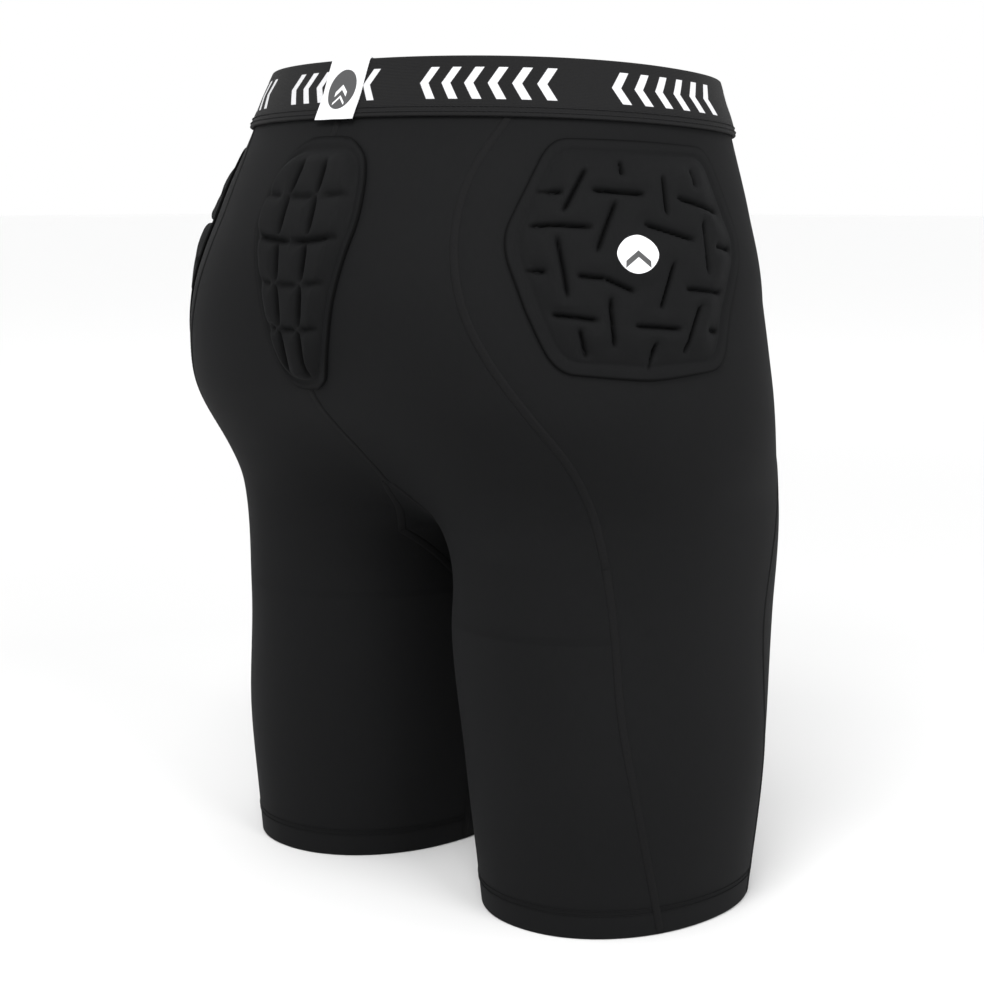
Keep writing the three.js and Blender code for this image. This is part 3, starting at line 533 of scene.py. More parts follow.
# %% [markdown]
# ## The knit
# The panels are a polyester and elastane jersey. Its face shows columns of small V shapes, the
# wales, drawn here 0.42 mm apart, in courses of 0.36 mm. Black yarn is never quite even, so the
# colour varies a little from yarn to yarn, and the whole cloth has the faint sheen of fine
# fibres seen at a low angle.

# %% Knit, pad fabric and lining mesh
WALE, COURSE = 0.42, 0.36
# Painted shade: a near-black colour painted into the pads' slots and along their rims, where shade falls.
PAINTED_SHADE_BLACK = (0.0003, 0.0003, 0.0003, 1)


def knit_height(u, v, wale, course):
    """Columns of V shapes: across, a hump per wale; along, a wave whose phase follows the arms of
    the V, which rise from the middle of the wale to its edges."""
    across = (u * (1 / wale)).part() - 0.5
    arm = abs(across)
    rows = ((v * (1 / course) + arm * 1.1) * (2 * math.pi)).wave()
    hump = (across * (2 * math.pi) + math.pi / 2).wave()
    return rows * 0.35 + hump * 0.65


def make_knit(name, dark, light, wale, course, sheen):
    """A knit in two tones, with painted shade: nearly black where the painted shade attribute is 1."""
    s = Shader(name)
    u, v = s.cloth()
    height = knit_height(u, v, wale, course)
    yarn = s.noise(1.0, 2.0, s.vector(u * (0.6 / wale), v * 0.12))
    broad = s.noise(14.0, 2.0)
    tone = (height * 0.18 + yarn * 0.55 + broad * 0.45).soft_step(0.15, 0.95)
    painted_shade = s.add("ShaderNodeAttribute", {"attribute_name": "painted_shade"}, (), "Fac")
    rough = broad * 0.1 + 0.72 + painted_shade * 0.15
    # Painted shade: the colour is mixed towards near-black by the painted shade attribute.
    cloth_colour = s.mix(painted_shade * 0.95, s.mix(tone, dark, light), PAINTED_SHADE_BLACK)
    s.surface(cloth_colour, rough, height, 0.00005,
              sheen_weight=sheen, sheen_roughness=0.4, specular_ior_level=0.07)
    s.bsdf.inputs["Sheen Tint"].default_value = (0.8, 0.85, 0.95, 1)


make_knit("knit", (0.0034, 0.0035, 0.0037, 1), (0.0064, 0.0065, 0.0068, 1), WALE, COURSE, 0.006)
make_knit("pad fabric", (0.0032, 0.0033, 0.0035, 1), (0.0057, 0.0058, 0.0061, 1),
          WALE, COURSE, 0.006)
make_knit("lining mesh", (0.010, 0.010, 0.0105, 1), (0.022, 0.022, 0.023, 1), 1.6, 1.6, 0.03)

# %% [markdown]
# ## Thread, elastic, ribbon and print
# Seams are sewn with a soft textured thread, so each stitch catches a little light. The
# waistband is woven elastic: fine ribs run round it, lighter specks show in the black yarn, and a
# row of pale chevrons is woven in. The label is a white satin ribbon.

# %% Thread
for title, dark, light in (("thread", 0.0032, 0.0067), ("band thread", 0.0075, 0.013)):
    s = Shader(title)
    u, v = s.cloth()
    twist = ((u + v * 0.5) * (2 * math.pi / 0.45)).wave() * 0.5 + 0.5
    fluff = s.noise(900.0, 2.0)
    s.surface(s.mix(fluff, (dark, dark, dark * 1.06, 1), (light, light, light * 1.04, 1)),
              fluff * 0.2 + 0.66, twist * 0.6 + fluff * 0.4, 0.00005, sheen_weight=0.006,
              specular_ior_level=0.06)

# %% Woven elastic with a chevron row
BAND_GROUPS, BAND_START = 8, 15.5
BAND_GIRTH = 2 * float(ring_length(TOP - 16))
s = Shader("woven elastic")
u, v = s.cloth()
pitch = BAND_GIRTH / BAND_GROUPS
along = ((u * (1 / pitch) + (0.5 - BAND_START / pitch)).part() - 0.5) * pitch
up = v - 17.2
lean_in = along - 2.6 + abs(up) * 0.62
arrow = (lean_in * (1 / 12.8)).part()
stripe = arrow.soft_step(0.03, 0.06) * (1 - arrow.soft_step(0.42, 0.45))
inside = (1 - abs(lean_in).soft_step(38.2, 38.5)) * (1 - abs(up).soft_step(8.4, 8.7))
motif = stripe * inside
rib = (v * (2 * math.pi / 0.8)).wave()
pick = (u * (2 * math.pi / 0.7) + rib * 0.6).wave()
speck = s.noise(1.0, 3.0, s.vector(u * 2.2, v * 6.0)).soft_step(0.46, 0.72)
ground = s.mix(speck, (0.0040, 0.0040, 0.0042, 1), (0.0125, 0.0125, 0.013, 1))
pale = s.mix(speck, (0.52, 0.52, 0.53, 1), (0.42, 0.42, 0.43, 1))
s.surface(s.mix(motif, ground, pale), motif * -0.12 + 0.78,
          rib * 0.35 + pick * 0.25 + motif * 1.2, 0.00012, sheen_weight=0.02, specular_ior_level=0.1)

# %% Satin ribbon, its printed oval, and the transfer on the hip pads
s = Shader("satin ribbon")
u, v = s.cloth()
floats = s.noise(1.0, 2.0, s.vector(u * 0.8, v * 7.0))
s.surface(s.mix(floats, (0.52, 0.52, 0.53, 1), (0.62, 0.62, 0.63, 1)), floats * 0.2 + 0.38,
          floats + (v * (2 * math.pi / 0.35)).wave() * 0.2, 0.00006, sheen_weight=0.1)

s = Shader("oval print")
u, v = s.cloth()
peak = v + abs(u) * 0.9
mark = peak.soft_step(-0.3, 0.0) * (1 - peak.soft_step(2.4, 2.7))
second = (peak + 4.6).soft_step(-0.3, 0.0) * (1 - (peak + 4.6).soft_step(1.1, 1.4))
short = 1 - abs(u).soft_step(4.3, 4.6)
marks = (mark + second).math("MINIMUM", 1) * short
weave = s.noise(1.0, 2.0, s.vector(u * 5.0, v * 5.0))
s.surface(s.mix(marks, s.mix(weave, (0.022, 0.022, 0.023, 1), (0.04, 0.04, 0.042, 1)),
                (0.66, 0.66, 0.67, 1)), weave * 0.2 + 0.5, weave, 0.00005)

s = Shader("transfer")
u, v = s.cloth()
grain = s.noise(1.0, 2.0, s.vector(u * 3.0, v * 3.0))
peak = v + abs(u) * 0.75
gap = peak.soft_step(-1.5, -1.3) * (1 - peak.soft_step(1.7, 1.9)) * (1 - abs(u).soft_step(6.6, 6.8))
s.surface(s.mix(gap, s.mix(grain, (0.50, 0.50, 0.51, 1), (0.57, 0.57, 0.58, 1)),
                (0.016, 0.016, 0.017, 1)), grain * 0.15 + 0.42, grain, 0.00003)

# %% [markdown]
# ## The panels
# Each panel is the skin between two seam lines, 1.2 mm thick. Close cloth isn't a perfect skin:
# it is drawn down a little beside each seam, it ripples faintly where the seam thread pulls, and
# it is pressed in under the waistband. These small depths are added to the outer face.

# %% Relief of the cloth


def pucker(arc, z, lines):
    """Beside each line the cloth dips like a bell curve, and the dip comes and goes along it."""
    depth = 0.0
    for line in lines:
        distance = arc - line[:, None]
        pull = 0.22 + 0.08 * np.sin(z * 0.41) + 0.05 * np.sin(z * 0.97 + 1.3)
        depth = depth - pull * np.exp(-(distance / 2.8) ** 2)
    return depth


def stretch(arc, z):
    """Long faint waves of the cloth: a product of slow sines of the height and of the place
    across the panel, measured from its middle line."""
    across = arc - arc.mean(axis=1, keepdims=True)
    return 0.12 * np.sin(across * 0.055 + z * 0.021) * np.sin(z * 0.043 - across * 0.013 + 0.8)


def panel_depth(arc, z, lines):
    """All the small depths together, fading out at the hem so that the edge stays level."""
    hem_line = -0.25 * np.exp(-((z - 15.4) / 1.6) ** 2)
    return pucker(arc, z, lines) + stretch(arc, z) * np.clip(z / 30, 0, 1) + hem_line


# %% Cut the panels
body_rows = (ROWS >= 1) & (ROWS <= PANEL_TOP + 1e-6)
zs = ROWS[body_rows]
lines = {key: value[body_rows] for key, value in
         {"gusset": gusset_line, "back": back_seam, "front": front_seam, "pouch": pouch_line}.items()}
GAP = 0.15
for side, word in ((1, "left"), (-1, "right")):
    for name, a, b, columns in (("back_panel", "gusset", "back", 84), ("side_panel", "back", "front", 84),
                                ("front_panel", "front", "pouch", 64)):
        arcs = between(lines[a] + GAP, lines[b] - GAP, columns)
        relief = panel_depth(arcs, zs[:, None], [lines[a], lines[b]])
        cut(f"{name}_{word}.cloth", side, zs, arcs, relief - KNIT, relief, "knit",
            [f"{name}_{word}"])

# %% [markdown]
# ## Gusset and pouch
# The gusset is one flat kite of cloth on the cutting table. Sewn in, it folds over the crotch:
# a point runs down each thigh, one up the back, and its short front edge meets the pouch. We
# chart it as four grids that share their edges, merge them, and let Solidify give them the
# thickness of the cloth.

# %% Gusset


def gusset_grid(rows, arcs, side):
    """Points, UV and faces of one part, with the relief of the panels."""
    point, normal = skin(side, arcs, rows[:, None])
    points = place(point, normal, stretch(arcs, rows[:, None]) * 0.5)
    i, j = quads(*arcs.shape)
    faces = i * arcs.shape[1] + j
    uv = np.stack(np.broadcast_arrays(arcs, rows[:, None]), -1)[i, j] / 1000
    return points.reshape(-1, 3), faces[:, ::-1] if side < 0 else faces, uv[:, ::-1] if side < 0 else uv


below = (ROWS > GUSSET_FOOT + 0.4) & (ROWS <= CROTCH + 1e-9)
behind = (ROWS >= CROTCH - 1e-9) & (ROWS < GUSSET_TOP - 0.4)
ahead = (ROWS >= CROTCH - 1e-9) & (ROWS <= POUCH_FOOT + 1e-9)
thigh = np.concatenate([between(pouch_line[below] + GAP, LENGTH[below], 9)[:, :-1],
                        between(0 * LENGTH[below], gusset_line[below] - GAP, 9)], axis=1)
thigh[:, 8] = 0.0
rear = between(GAP - gusset_line[behind], gusset_line[behind] - GAP, 17)
fore = between(pouch_line[ahead] + GAP, 2 * LENGTH[ahead] - pouch_line[ahead] - GAP, 17)
parts = [gusset_grid(ROWS[below], thigh, 1), gusset_grid(ROWS[below], thigh, -1),
         gusset_grid(ROWS[behind], rear, 1), gusset_grid(ROWS[ahead], fore, 1)]
offsets = np.cumsum([0] + [len(part[0]) for part in parts])
gusset = mesh_from("crotch_gusset.cloth", np.concatenate([part[0] for part in parts]),
                   np.concatenate([part[1] + start for part, start in zip(parts, offsets)]),
                   np.concatenate([part[2] for part in parts]))
joined = bmesh.new()
joined.from_mesh(gusset.data)
bmesh.ops.remove_doubles(joined, verts=joined.verts, dist=0.00008)
bmesh.ops.dissolve_degenerate(joined, edges=joined.edges, dist=0.00002)
joined.to_mesh(gusset.data)
print("gusset edges on its rim:", sum(edge.is_boundary for edge in joined.edges))
joined.free()
thicken = gusset.modifiers.new("thickness", "SOLIDIFY")
thicken.thickness, thicken.offset = KNIT / 1000, -1
finish_piece(gusset, "knit", ["crotch_gusset"])

# %% [markdown]
# The pouch is one panel over the front middle, and a mesh lining lies behind it.

# %% Pouch and lining
front_rows = (ROWS >= POUCH_FOOT - 1e-6) & (ROWS <= PANEL_TOP + 1e-6)
zs_front = ROWS[front_rows]
edge, whole = pouch_line[front_rows], 2 * LENGTH[front_rows]
arcs = between(edge + GAP, whole - edge - GAP, 96)
relief = panel_depth(arcs, zs_front[:, None], [edge, whole - edge])
cut("front_pouch.cloth", 1, zs_front, arcs, relief - KNIT, relief, "knit", ["front_pouch"])
inner = zs_front > POUCH_FOOT + 8
arcs = between(edge[inner] + 4, whole[inner] - edge[inner] - 4, 60)
cut("pouch_lining.cloth", 1, zs_front[inner], arcs, -3.3, -2.15, "lining mesh", ["pouch_lining"])

# %% [markdown]
# ## Waistband and hems
# The elastic is a hoop whose cross-section is a flat bar with rounded edges. The hem is one
# strip that turns under the edge of the leg and runs up inside. Both are made the same way: a
# closed profile, given as depth and height, is carried round the body.

# %% Hoops


def rounded_bar(low, high, foot, top, corner, steps=5):
    """Profile of a flat bar: quarter circles at the corners and straight lines between them."""
    turn = np.linspace(0, np.pi / 2, steps)
    centres = [(high - corner, foot + corner, -np.pi / 2), (high - corner, top - corner, 0),
               (low + corner, top - corner, np.pi / 2), (low + corner, foot + corner, np.pi)]
    loop = [np.stack([d + corner * np.cos(turn + a), z + corner * np.sin(turn + a)], 1)
            for d, z, a in centres]
    outside_face = np.linspace(foot + corner, top - corner, 24)[1:-1]
    loop.insert(1, np.stack([0 * outside_face + high, outside_face], 1))
    inside_face = outside_face[::-1]
    loop.insert(4, np.stack([0 * inside_face + low, inside_face], 1))
    return np.concatenate(loop)


def hoop(name, side, profile, count, girth, material, nodes, ripple=0.0):
    """Carries the profile round the ring. Its UV is (girth share in metres, height)."""
    share = np.linspace(0, 1, count + 1)
    depth, z = profile[:, :1], profile[:, 1:]
    arcs = share[None, :-1] * ring_length(z) * (2 if girth == BAND_GIRTH else 1)
    point, normal = skin(side, arcs, np.broadcast_to(z, arcs.shape))
    points = place(point, normal, depth + ripple * np.sin(arcs * 0.035) * np.sin(z * 0.2))
    rows = len(profile)
    i, j = quads(rows, count + 1, False, True)
    faces = (i % rows) * count + j % count
    lift = np.concatenate([z[:, 0], z[:1, 0]])
    uv = np.stack([share[j] * girth, lift[i] - lift.min()], -1) / 1000
    if side > 0:
        faces, uv = faces[:, ::-1], uv[:, ::-1]
    obj = mesh_from(name, points.reshape(-1, 3), faces, uv)
    print(name, "has", len(faces), "faces")
    return finish_piece(obj, material, nodes)


# %% Waistband
# The profile runs the other way round than the hem's, so that the faces point outwards.
bar = rounded_bar(0.3, 2.5, BAND_FOOT, TOP, 0.7)[::-1]
hoop("waistband_elastic.woven", 1, bar, 560, BAND_GIRTH, "woven elastic",
     ["waistband_elastic"], 0.15)

# %% Hems
turn = np.linspace(0, np.pi, 13)
under = np.stack([-1.65 + 1.65 * np.cos(turn), 1.2 - 1.2 * np.sin(turn)], 1)
climb = np.stack([np.full(9, -3.3), np.linspace(2, 16.6, 9)], 1)
back_down = np.stack([np.full(9, -2.15), np.linspace(16.8, 1.8, 9)], 1)
back_under = np.stack([-1.65 + 0.45 * np.cos(turn[::-3]), 1.2 - 0.3 * np.sin(turn[::-3])], 1)
hem = np.concatenate([under, climb, [[-3.1, 17.0], [-2.4, 17.0]], back_down, back_under])
for side, word in ((1, "left"), (-1, "right")):
    leg_girth = float(ring_length(0.0))
    hoop(f"hem_facing_{word}.cloth", side, hem, 300, leg_girth, "knit", [f"hem_facing_{word}"])

# %% [markdown]
# ## Seams
# The panels are joined edge to edge by a flat seam: threads run over the join from both sides
# and cover it with a soft low band. The band is a profile carried along the seam line. Its
# surface rises and falls a little where each stitch pulls the threads together.

# %% Carry a seam profile along a line
SEAM_PROFILE = np.array([[-2.5, -0.5], [-2.4, -0.14], [-1.9, 0.22], [-1.1, 0.5], [-0.35, 0.46], [0.35, 0.46],
                         [1.1, 0.5], [1.9, 0.22], [2.4, -0.14], [2.5, -0.5]])


def resample(arcs, rows, step=0.8):
    """Stations at equal distances along a seam line."""
    length = np.concatenate([[0], np.cumsum(np.hypot(np.diff(arcs), np.diff(rows)))])
    even = np.linspace(0, length[-1], int(length[-1] / step) + 2)
    return np.interp(even, length, arcs), np.interp(even, length, rows), even


def along_line(side, arcs, rows):
    """The point, the normal and the direction across a line, at each of its stations."""
    point, normal = skin(side, arcs, rows)
    travel = np.gradient(point, axis=0)
    across = np.cross(travel, normal)
    return point, normal, across / np.linalg.norm(across, axis=-1, keepdims=True)


def seam(name, side, arcs, rows, node):
    """Sweeps the profile. Its height swells by a sine with the stitch length, in a V pattern."""
    arcs, rows, run = resample(arcs, rows)
    point, normal, across = along_line(side, arcs, rows)
    wide, high = SEAM_PROFILE[:, 0], SEAM_PROFILE[:, 1]
    ends = np.clip(np.minimum(run, run[-1] - run) / 2.0, 0, 1)[:, None]
    wave = 0.05 * np.sin(run[:, None] * (2 * np.pi / 2.6) + np.abs(wide) * 1.5)
    lift = np.where(high > 0, high * (0.4 + 0.6 * ends) + wave, high)
    spread_points = point[:, None] + across[:, None] * (wide * (0.5 + 0.5 * ends))[..., None]
    points = place(spread_points, normal[:, None] + 0 * spread_points, lift)
    count, width = points.shape[:2]
    i, j = quads(count, width, True)
    faces = i * width + j % width
    uv = np.stack([j * 0.00052 + 0 * i, run[i] / 1000], -1)
    cap = np.array([[k, k + 1, width - 2 - k, width - 1 - k] for k in range(width // 2 - 1)])
    far = cap[:, ::-1] + (count - 1) * width
    caps = np.concatenate([cap, far])
    faces = np.concatenate([faces, caps])
    uv = np.concatenate([uv, np.zeros(caps.shape + (2,))])
    obj = mesh_from(name, points.reshape(-1, 3), faces, uv)
    outward(obj)
    return finish_piece(obj, "thread", [node])


def outward(obj):
    """Turns every face of a closed mesh outwards."""
    shell = bmesh.new()
    shell.from_mesh(obj.data)
    bmesh.ops.recalc_face_normals(shell, faces=shell.faces)
    shell.to_mesh(obj.data)
    shell.free()


def stretch_of(line, low, high):
    """The part of a line between two heights, its ends worked out between rows."""
    rows = ROWS[(ROWS > low + 0.5) & (ROWS < high - 0.5)]
    rows = np.concatenate([[low], rows, [high]])
    return np.interp(rows, ROWS, line), rows


# %% Sew the seams
# A gusset seam stops short of the kite's points, where the two would run into each other.
SEAM_FOOT, SEAM_TOP = 1.2, BAND_FOOT + 1.0
POINT_CLEAR = (4.4 / 2 + 0.6) / 20 * 1.15
THIGH_START = GUSSET_FOOT + GUSSET_DOWN * POINT_CLEAR
BACK_END = GUSSET_TOP - GUSSET_UP * POINT_CLEAR
TAIL_FOOT = BAND_FOOT - TAIL_DROP - TAIL_HEIGHT
for side, word in ((1, "left"), (-1, "right")):
    seam(f"back_side_seam_{word}.thread", side, *stretch_of(back_seam, SEAM_FOOT, SEAM_TOP),
         f"back_side_seam_{word}")
    seam(f"front_side_seam_{word}.thread", side, *stretch_of(front_seam, SEAM_FOOT, SEAM_TOP),
         f"front_side_seam_{word}")
    seam(f"inseam_{word}.thread", side, *stretch_of(0 * ROWS, SEAM_FOOT, GUSSET_FOOT - 1),
         f"inseam_{word}")
    seam(f"gusset_seam_{word}.thread", side, *stretch_of(gusset_line, THIGH_START, BACK_END),
         f"gusset_seam_{word}")
    seam(f"pouch_seam_{word}.thread", side, *stretch_of(pouch_line, THIGH_START, SEAM_TOP),
         f"pouch_seam_{word}")
seam("centre_back_seam.thread", 1, *stretch_of(0 * ROWS, GUSSET_TOP - 5.5, TAIL_FOOT + 1), "centre_back_seam")
seam("centre_back_seam_top.thread", 1, *stretch_of(0 * ROWS, BAND_FOOT - 10.5, SEAM_TOP),
     "centre_back_seam")

# %% [markdown]
# ## Topstitching
# The hem and the waistband are sewn down with two needles side by side. Each stitch is a short
# bead of thread that dives into the cloth at both ends, so it is made as a small bent tube.

# %% Stitches
THREAD_RADIUS = 0.00024  # in metres


def stitches(name, side, rows, depth, pitch, both_sides, node, material="thread"):
    """Rows of bent tubes: the height of each follows half a sine, its radius stays the same. A
    row goes round one leg, or round both sides of the body."""
    stations, turns = 6, 6
    centres, normals, travels = [], [], []
    for z in rows:
        full = float(ring_length(z)) * (2 if both_sides else 1)
        count = int(full / pitch)
        begin = np.arange(count)[:, None] * (full / count)
        t = np.linspace(0.06, 0.94, stations)
        arcs = begin + t * (full / count)
        point, normal = skin(side, arcs, np.full(arcs.shape, z))
        centre = place(point, normal, depth + 0.30 * np.sin(np.pi * t) - 0.16)
        centres.append(centre)
        normals.append(normal)
        travels.append(np.gradient(centre, axis=1))
    centre, normal, travel = (np.concatenate(group) for group in (centres, normals, travels))
    across = np.cross(travel, normal)
    across /= np.linalg.norm(across, axis=-1, keepdims=True)
    angle = np.linspace(0, 2 * np.pi, turns, endpoint=False)
    ring = (across[:, :, None] * np.cos(angle)[:, None] + normal[:, :, None] * np.sin(angle)[:, None])
    points = centre[:, :, None] + ring * THREAD_RADIUS
    many = len(centre)
    i, j = quads(stations, turns + 1)
    faces = i * turns + j % turns
    cap = np.array([[0, 1, 2, 3], [0, 3, 4, 5]])
    faces = np.concatenate([faces, cap, cap[:, ::-1] + (stations - 1) * turns])
    faces = (faces[None] + np.arange(many)[:, None, None] * stations * turns).reshape(-1, 4)
    uv = np.stack([faces % turns * 0.0003, faces // turns * 0.0005], -1)
    obj = mesh_from(name, points.reshape(-1, 3), faces, uv)
    outward(obj)
    print(name, "has", many, "stitches")
    return finish_piece(obj, material, [node])


for side, word in ((1, "left"), (-1, "right")):
    stitches(f"hem_stitching_{word}.thread", side, [14.0, 16.8], 0.12, 2.8, False,
             f"hem_stitching_{word}")
stitches("waistband_stitching.thread", 1, [BAND_FOOT + 2.2, BAND_FOOT + 4.8], 2.72, 3.0, True,
         "waistband_stitching", "band thread")

# %% [markdown]
# ## Label
# A satin ribbon is folded over the top of the waistband at the middle of the back. On its
# outside it carries a printed oval, here with a plain mark of our own.

# %% Label and print
LABEL_OUT = 3.6
LABEL_DROP = 33.5


def ribbon_path(count):
    """Down the outside, over the top on a half circle, and down the inside: depth and height."""
    out_z = np.linspace(TOP - LABEL_DROP, TOP - 1.5, count)
    ramp = np.clip((TOP - 18 - out_z) / 14, 0, 1)
    out_depth = 2.95 + (LABEL_OUT - 2.95) * ramp * ramp * (3 - 2 * ramp)
    turn = np.linspace(0, np.pi, 13)
    over = np.stack([1.45 + 1.5 * np.cos(turn), TOP - 1.0 + 1.6 * np.sin(turn)], 1)
    in_z = np.linspace(TOP - 2, TOP - 21, 12)
    return np.concatenate([np.stack([out_depth, out_z], 1), over, np.stack([0 * in_z - 0.05, in_z], 1)])


path = ribbon_path(40)
heading = np.gradient(path, axis=0)
heading /= np.linalg.norm(heading, axis=1, keepdims=True)
square = np.stack([heading[:, 1], -heading[:, 0]], 1)
across = np.linspace(-15, 15, 42)
ribbon = []
for offset in (0.25, -0.2):
    line = path + square * offset
    arcs = np.broadcast_to(across, (len(line), len(across)))
    wave = 0.1 * np.cos(across * 0.45) * np.sin(path[:, 1:] * 0.22)
    point, normal = skin(1, arcs, np.broadcast_to(np.minimum(line[:, 1:], TOP), arcs.shape))
    lifted = place(point, normal, line[:, :1] + wave)
    lifted[..., 2] += np.maximum(line[:, 1:] - TOP, 0) / 1000
    ribbon.append(lifted)
run = np.concatenate([[0], np.cumsum(np.linalg.norm(np.diff(path, axis=0), axis=1))])
uv = np.stack(np.broadcast_arrays(across[None, :], run[:, None]), -1) / 1000
label = sheet_mesh("waistband_label.ribbon", ribbon[0], ribbon[1], uv)
outward(label)
finish_piece(label, "satin ribbon", ["waistband_label"])

radius, angle = np.meshgrid(np.linspace(0.02, 1, 16), np.linspace(0, 2 * np.pi, 65), indexing="ij")
print_x = 10.5 * radius * np.cos(angle)
print_z = TOP - LABEL_DROP / 2 + 11 * radius * np.sin(angle)
print_depth = np.interp(print_z, path[:40, 1], path[:40, 0]) + 0.25
print_depth = print_depth + 0.1 * np.cos(print_x * 0.45) * np.sin(print_z * 0.22)
point, normal = skin(1, print_x, print_z)
uv = np.stack([print_x, print_z - TOP + LABEL_DROP / 2], -1) / 1000
oval = sheet_mesh("label_print.ink", place(point, normal, print_depth + 0.12)[:, :-1],
                  place(point, normal, print_depth - 0.05)[:, :-1], uv, True)
outward(oval)
finish_piece(oval, "oval print", ["label_print"])

# %% [markdown]
# ## Pads
# A pad is foam moulded under a stretch cover. Its border is pressed flat and welded down. Inside
# the border the foam rises in tiles, and narrow slots between the tiles let it bend. We work out
# the moulded height as a formula of the place on the pad.
#
# A cloth simulation then puts pressure on the cover, held at the border and in the slots, and its
# move is added to the moulded height. It doesn't do what it was meant for, which was to let the
# cover swell over the foam. The hip cover's grid faces the body, so there the pressure presses it
# inwards, and the length of that inward move is added outwards. The tailbone cover's grid faces
# outwards, but it hardly moves. The tiles get their shape mostly from the formula.

# %% Distance to the slots


def strokes(points, strength=1.0):
    """Short straight pieces along a slot, each with its strength at both ends: a slot fades in
    over its first tenth and out over its last."""
    points = np.array(points, float)
    if len(points) == 2:
        points = points[0] + (points[1] - points[0]) * np.array([[0], [0.1], [0.9], [1]])
    weight = np.full(len(points), strength)
    weight[[0, -1]] = 0.55 * strength
    return [(*a, *b, p, q) for a, b, p, q in zip(points[:-1], points[1:], weight[:-1], weight[1:])]


def nearest_slot(x, y, pieces, width):
    """Distance to the nearest slot, and how deep it cuts, from 0 to 1. The foot of the
    perpendicular, kept between a piece's ends, is its nearest point, and the cut falls off with
    the distance like a bell curve."""
    ax, ay, bx, by, wa, wb = np.array(pieces, float).T[:, :, None]
    px, py = x.ravel()[None], y.ravel()[None]
    t = np.clip(((px - ax) * (bx - ax) + (py - ay) * (by - ay)) / ((bx - ax) ** 2 + (by - ay) ** 2), 0, 1)
    distance = np.hypot(px - ax - t * (bx - ax), py - ay - t * (by - ay))
    cut_in = (wa + t * (wb - wa)) * np.exp(-(distance / width) ** 2)
    return distance.min(axis=0).reshape(x.shape), cut_in.max(axis=0).reshape(x.shape)


def smoothstep(t):
    """0 below 0, 1 above 1, and a curve between them that starts and ends level."""
    t = np.clip(t, 0, 1)
    return t * t * (3 - 2 * t)


def moulded(inside, near_slot, narrow, wide, border, ramp, thickness, slot_depth):
    """Height of a pad's face above the cloth: a lip with a rounded edge, a flat border, a shallow
    valley, and a rise to the tiles, less the slots. Slots fade out where the rise begins."""
    edge = 0.8 + 0.9 * np.sqrt(np.clip(1 - np.clip(1 - inside / 0.9, 0, 1) ** 2, 0, 1))
    valley = -0.7 * np.exp(-((inside - border) / 1.5) ** 2)
    rise = (thickness - 1.7) * smoothstep((inside - border) / ramp)
    crown = 0.6 * smoothstep(near_slot / 8)
    cut_in = slot_depth * (0.7 * narrow + 0.3 * wide)
    return edge + valley + rise + (crown - cut_in) * smoothstep((inside - border - 0.5) / (ramp * 0.4))


# %% Press on the cover in a cloth simulation


def look(table, u, v):
    """Reads a table at fractional rows and columns, given from 0 to 1."""
    a = np.clip(u, 0, 1) * (table.shape[0] - 1)
    b = np.clip(v, 0, 1) * (table.shape[1] - 1)
    i, j = np.minimum(a.astype(int), table.shape[0] - 2), np.minimum(b.astype(int), table.shape[1] - 2)
    s, t = a - i, b - j
    return ((1 - s) * ((1 - t) * table[i, j] + t * table[i, j + 1])
            + s * ((1 - t) * table[i + 1, j] + t * table[i + 1, j + 1]))


CLOTH_FRAMES = 20


def swell(points, held, cap, force):
    """Runs the cover as cloth under pressure and gives how far each point moved along the normal
    of its own grid, in millimetres, kept within the cap. That normal faces the body on the hip
    cover and away from it on the tailbone cover."""
    rows, columns = held.shape
    i, j = quads(rows, columns)
    cover = mesh_from("cover", points.reshape(-1, 3), i * columns + j, np.zeros((len(i), 4, 2)))
    before = np.empty(rows * columns * 3, np.float32)
    cover.data.vertices.foreach_get("co", before)
    normals = np.empty_like(before)
    cover.data.vertices.foreach_get("normal", normals)
    pins = cover.vertex_groups.new(name="held")
    for weight in (0.25, 0.5, 0.75, 1.0):
        chosen = np.flatnonzero(np.abs(held.ravel() - weight) <= 0.125)
        pins.add(chosen.tolist(), weight, "REPLACE")
    cloth = cover.modifiers.new("cloth", "CLOTH")
    cloth.settings.vertex_group_mass = "held"
    cloth.settings.effector_weights.gravity = 0
    cloth.settings.use_pressure = True
    cloth.settings.uniform_pressure_force = force
    cloth.settings.quality = 4
    cloth.settings.mass = 0.15
    cloth.point_cache.frame_start, cloth.point_cache.frame_end = 1, CLOTH_FRAMES
    for step in range(1, CLOTH_FRAMES + 1):
        bpy.context.scene.frame_set(step)
    graph = bpy.context.evaluated_depsgraph_get()
    done = cover.evaluated_get(graph).to_mesh()
    after = np.empty_like(before)
    done.vertices.foreach_get("co", after)
    cover.evaluated_get(graph).to_mesh_clear()
    bpy.context.scene.frame_set(1)
    move = ((after - before) * normals).reshape(-1, 3).sum(axis=1).reshape(held.shape) * 1000
    bpy.data.objects.remove(cover)
    print("cover moved", round(float(np.abs(move).max()), 2), "mm at most, kept to", cap)
    return np.clip(move, -cap, cap)


# %% [markdown]
# ## Hip pads
# A hip pad is a shield with eight rounded corners. Its slots lie like the gaps in a basket weave,
# so it bends over the hip in every direction. The grid is a square pressed into a disc, and then
# drawn out to the outline, so it has no pole in the middle and the slots keep their shape.
#
# A row of the slots holds the two ends of one slot, across and up in millimetres. The corners and
# the slots were measured on the fitted form and rounded, the slots to whole millimetres.

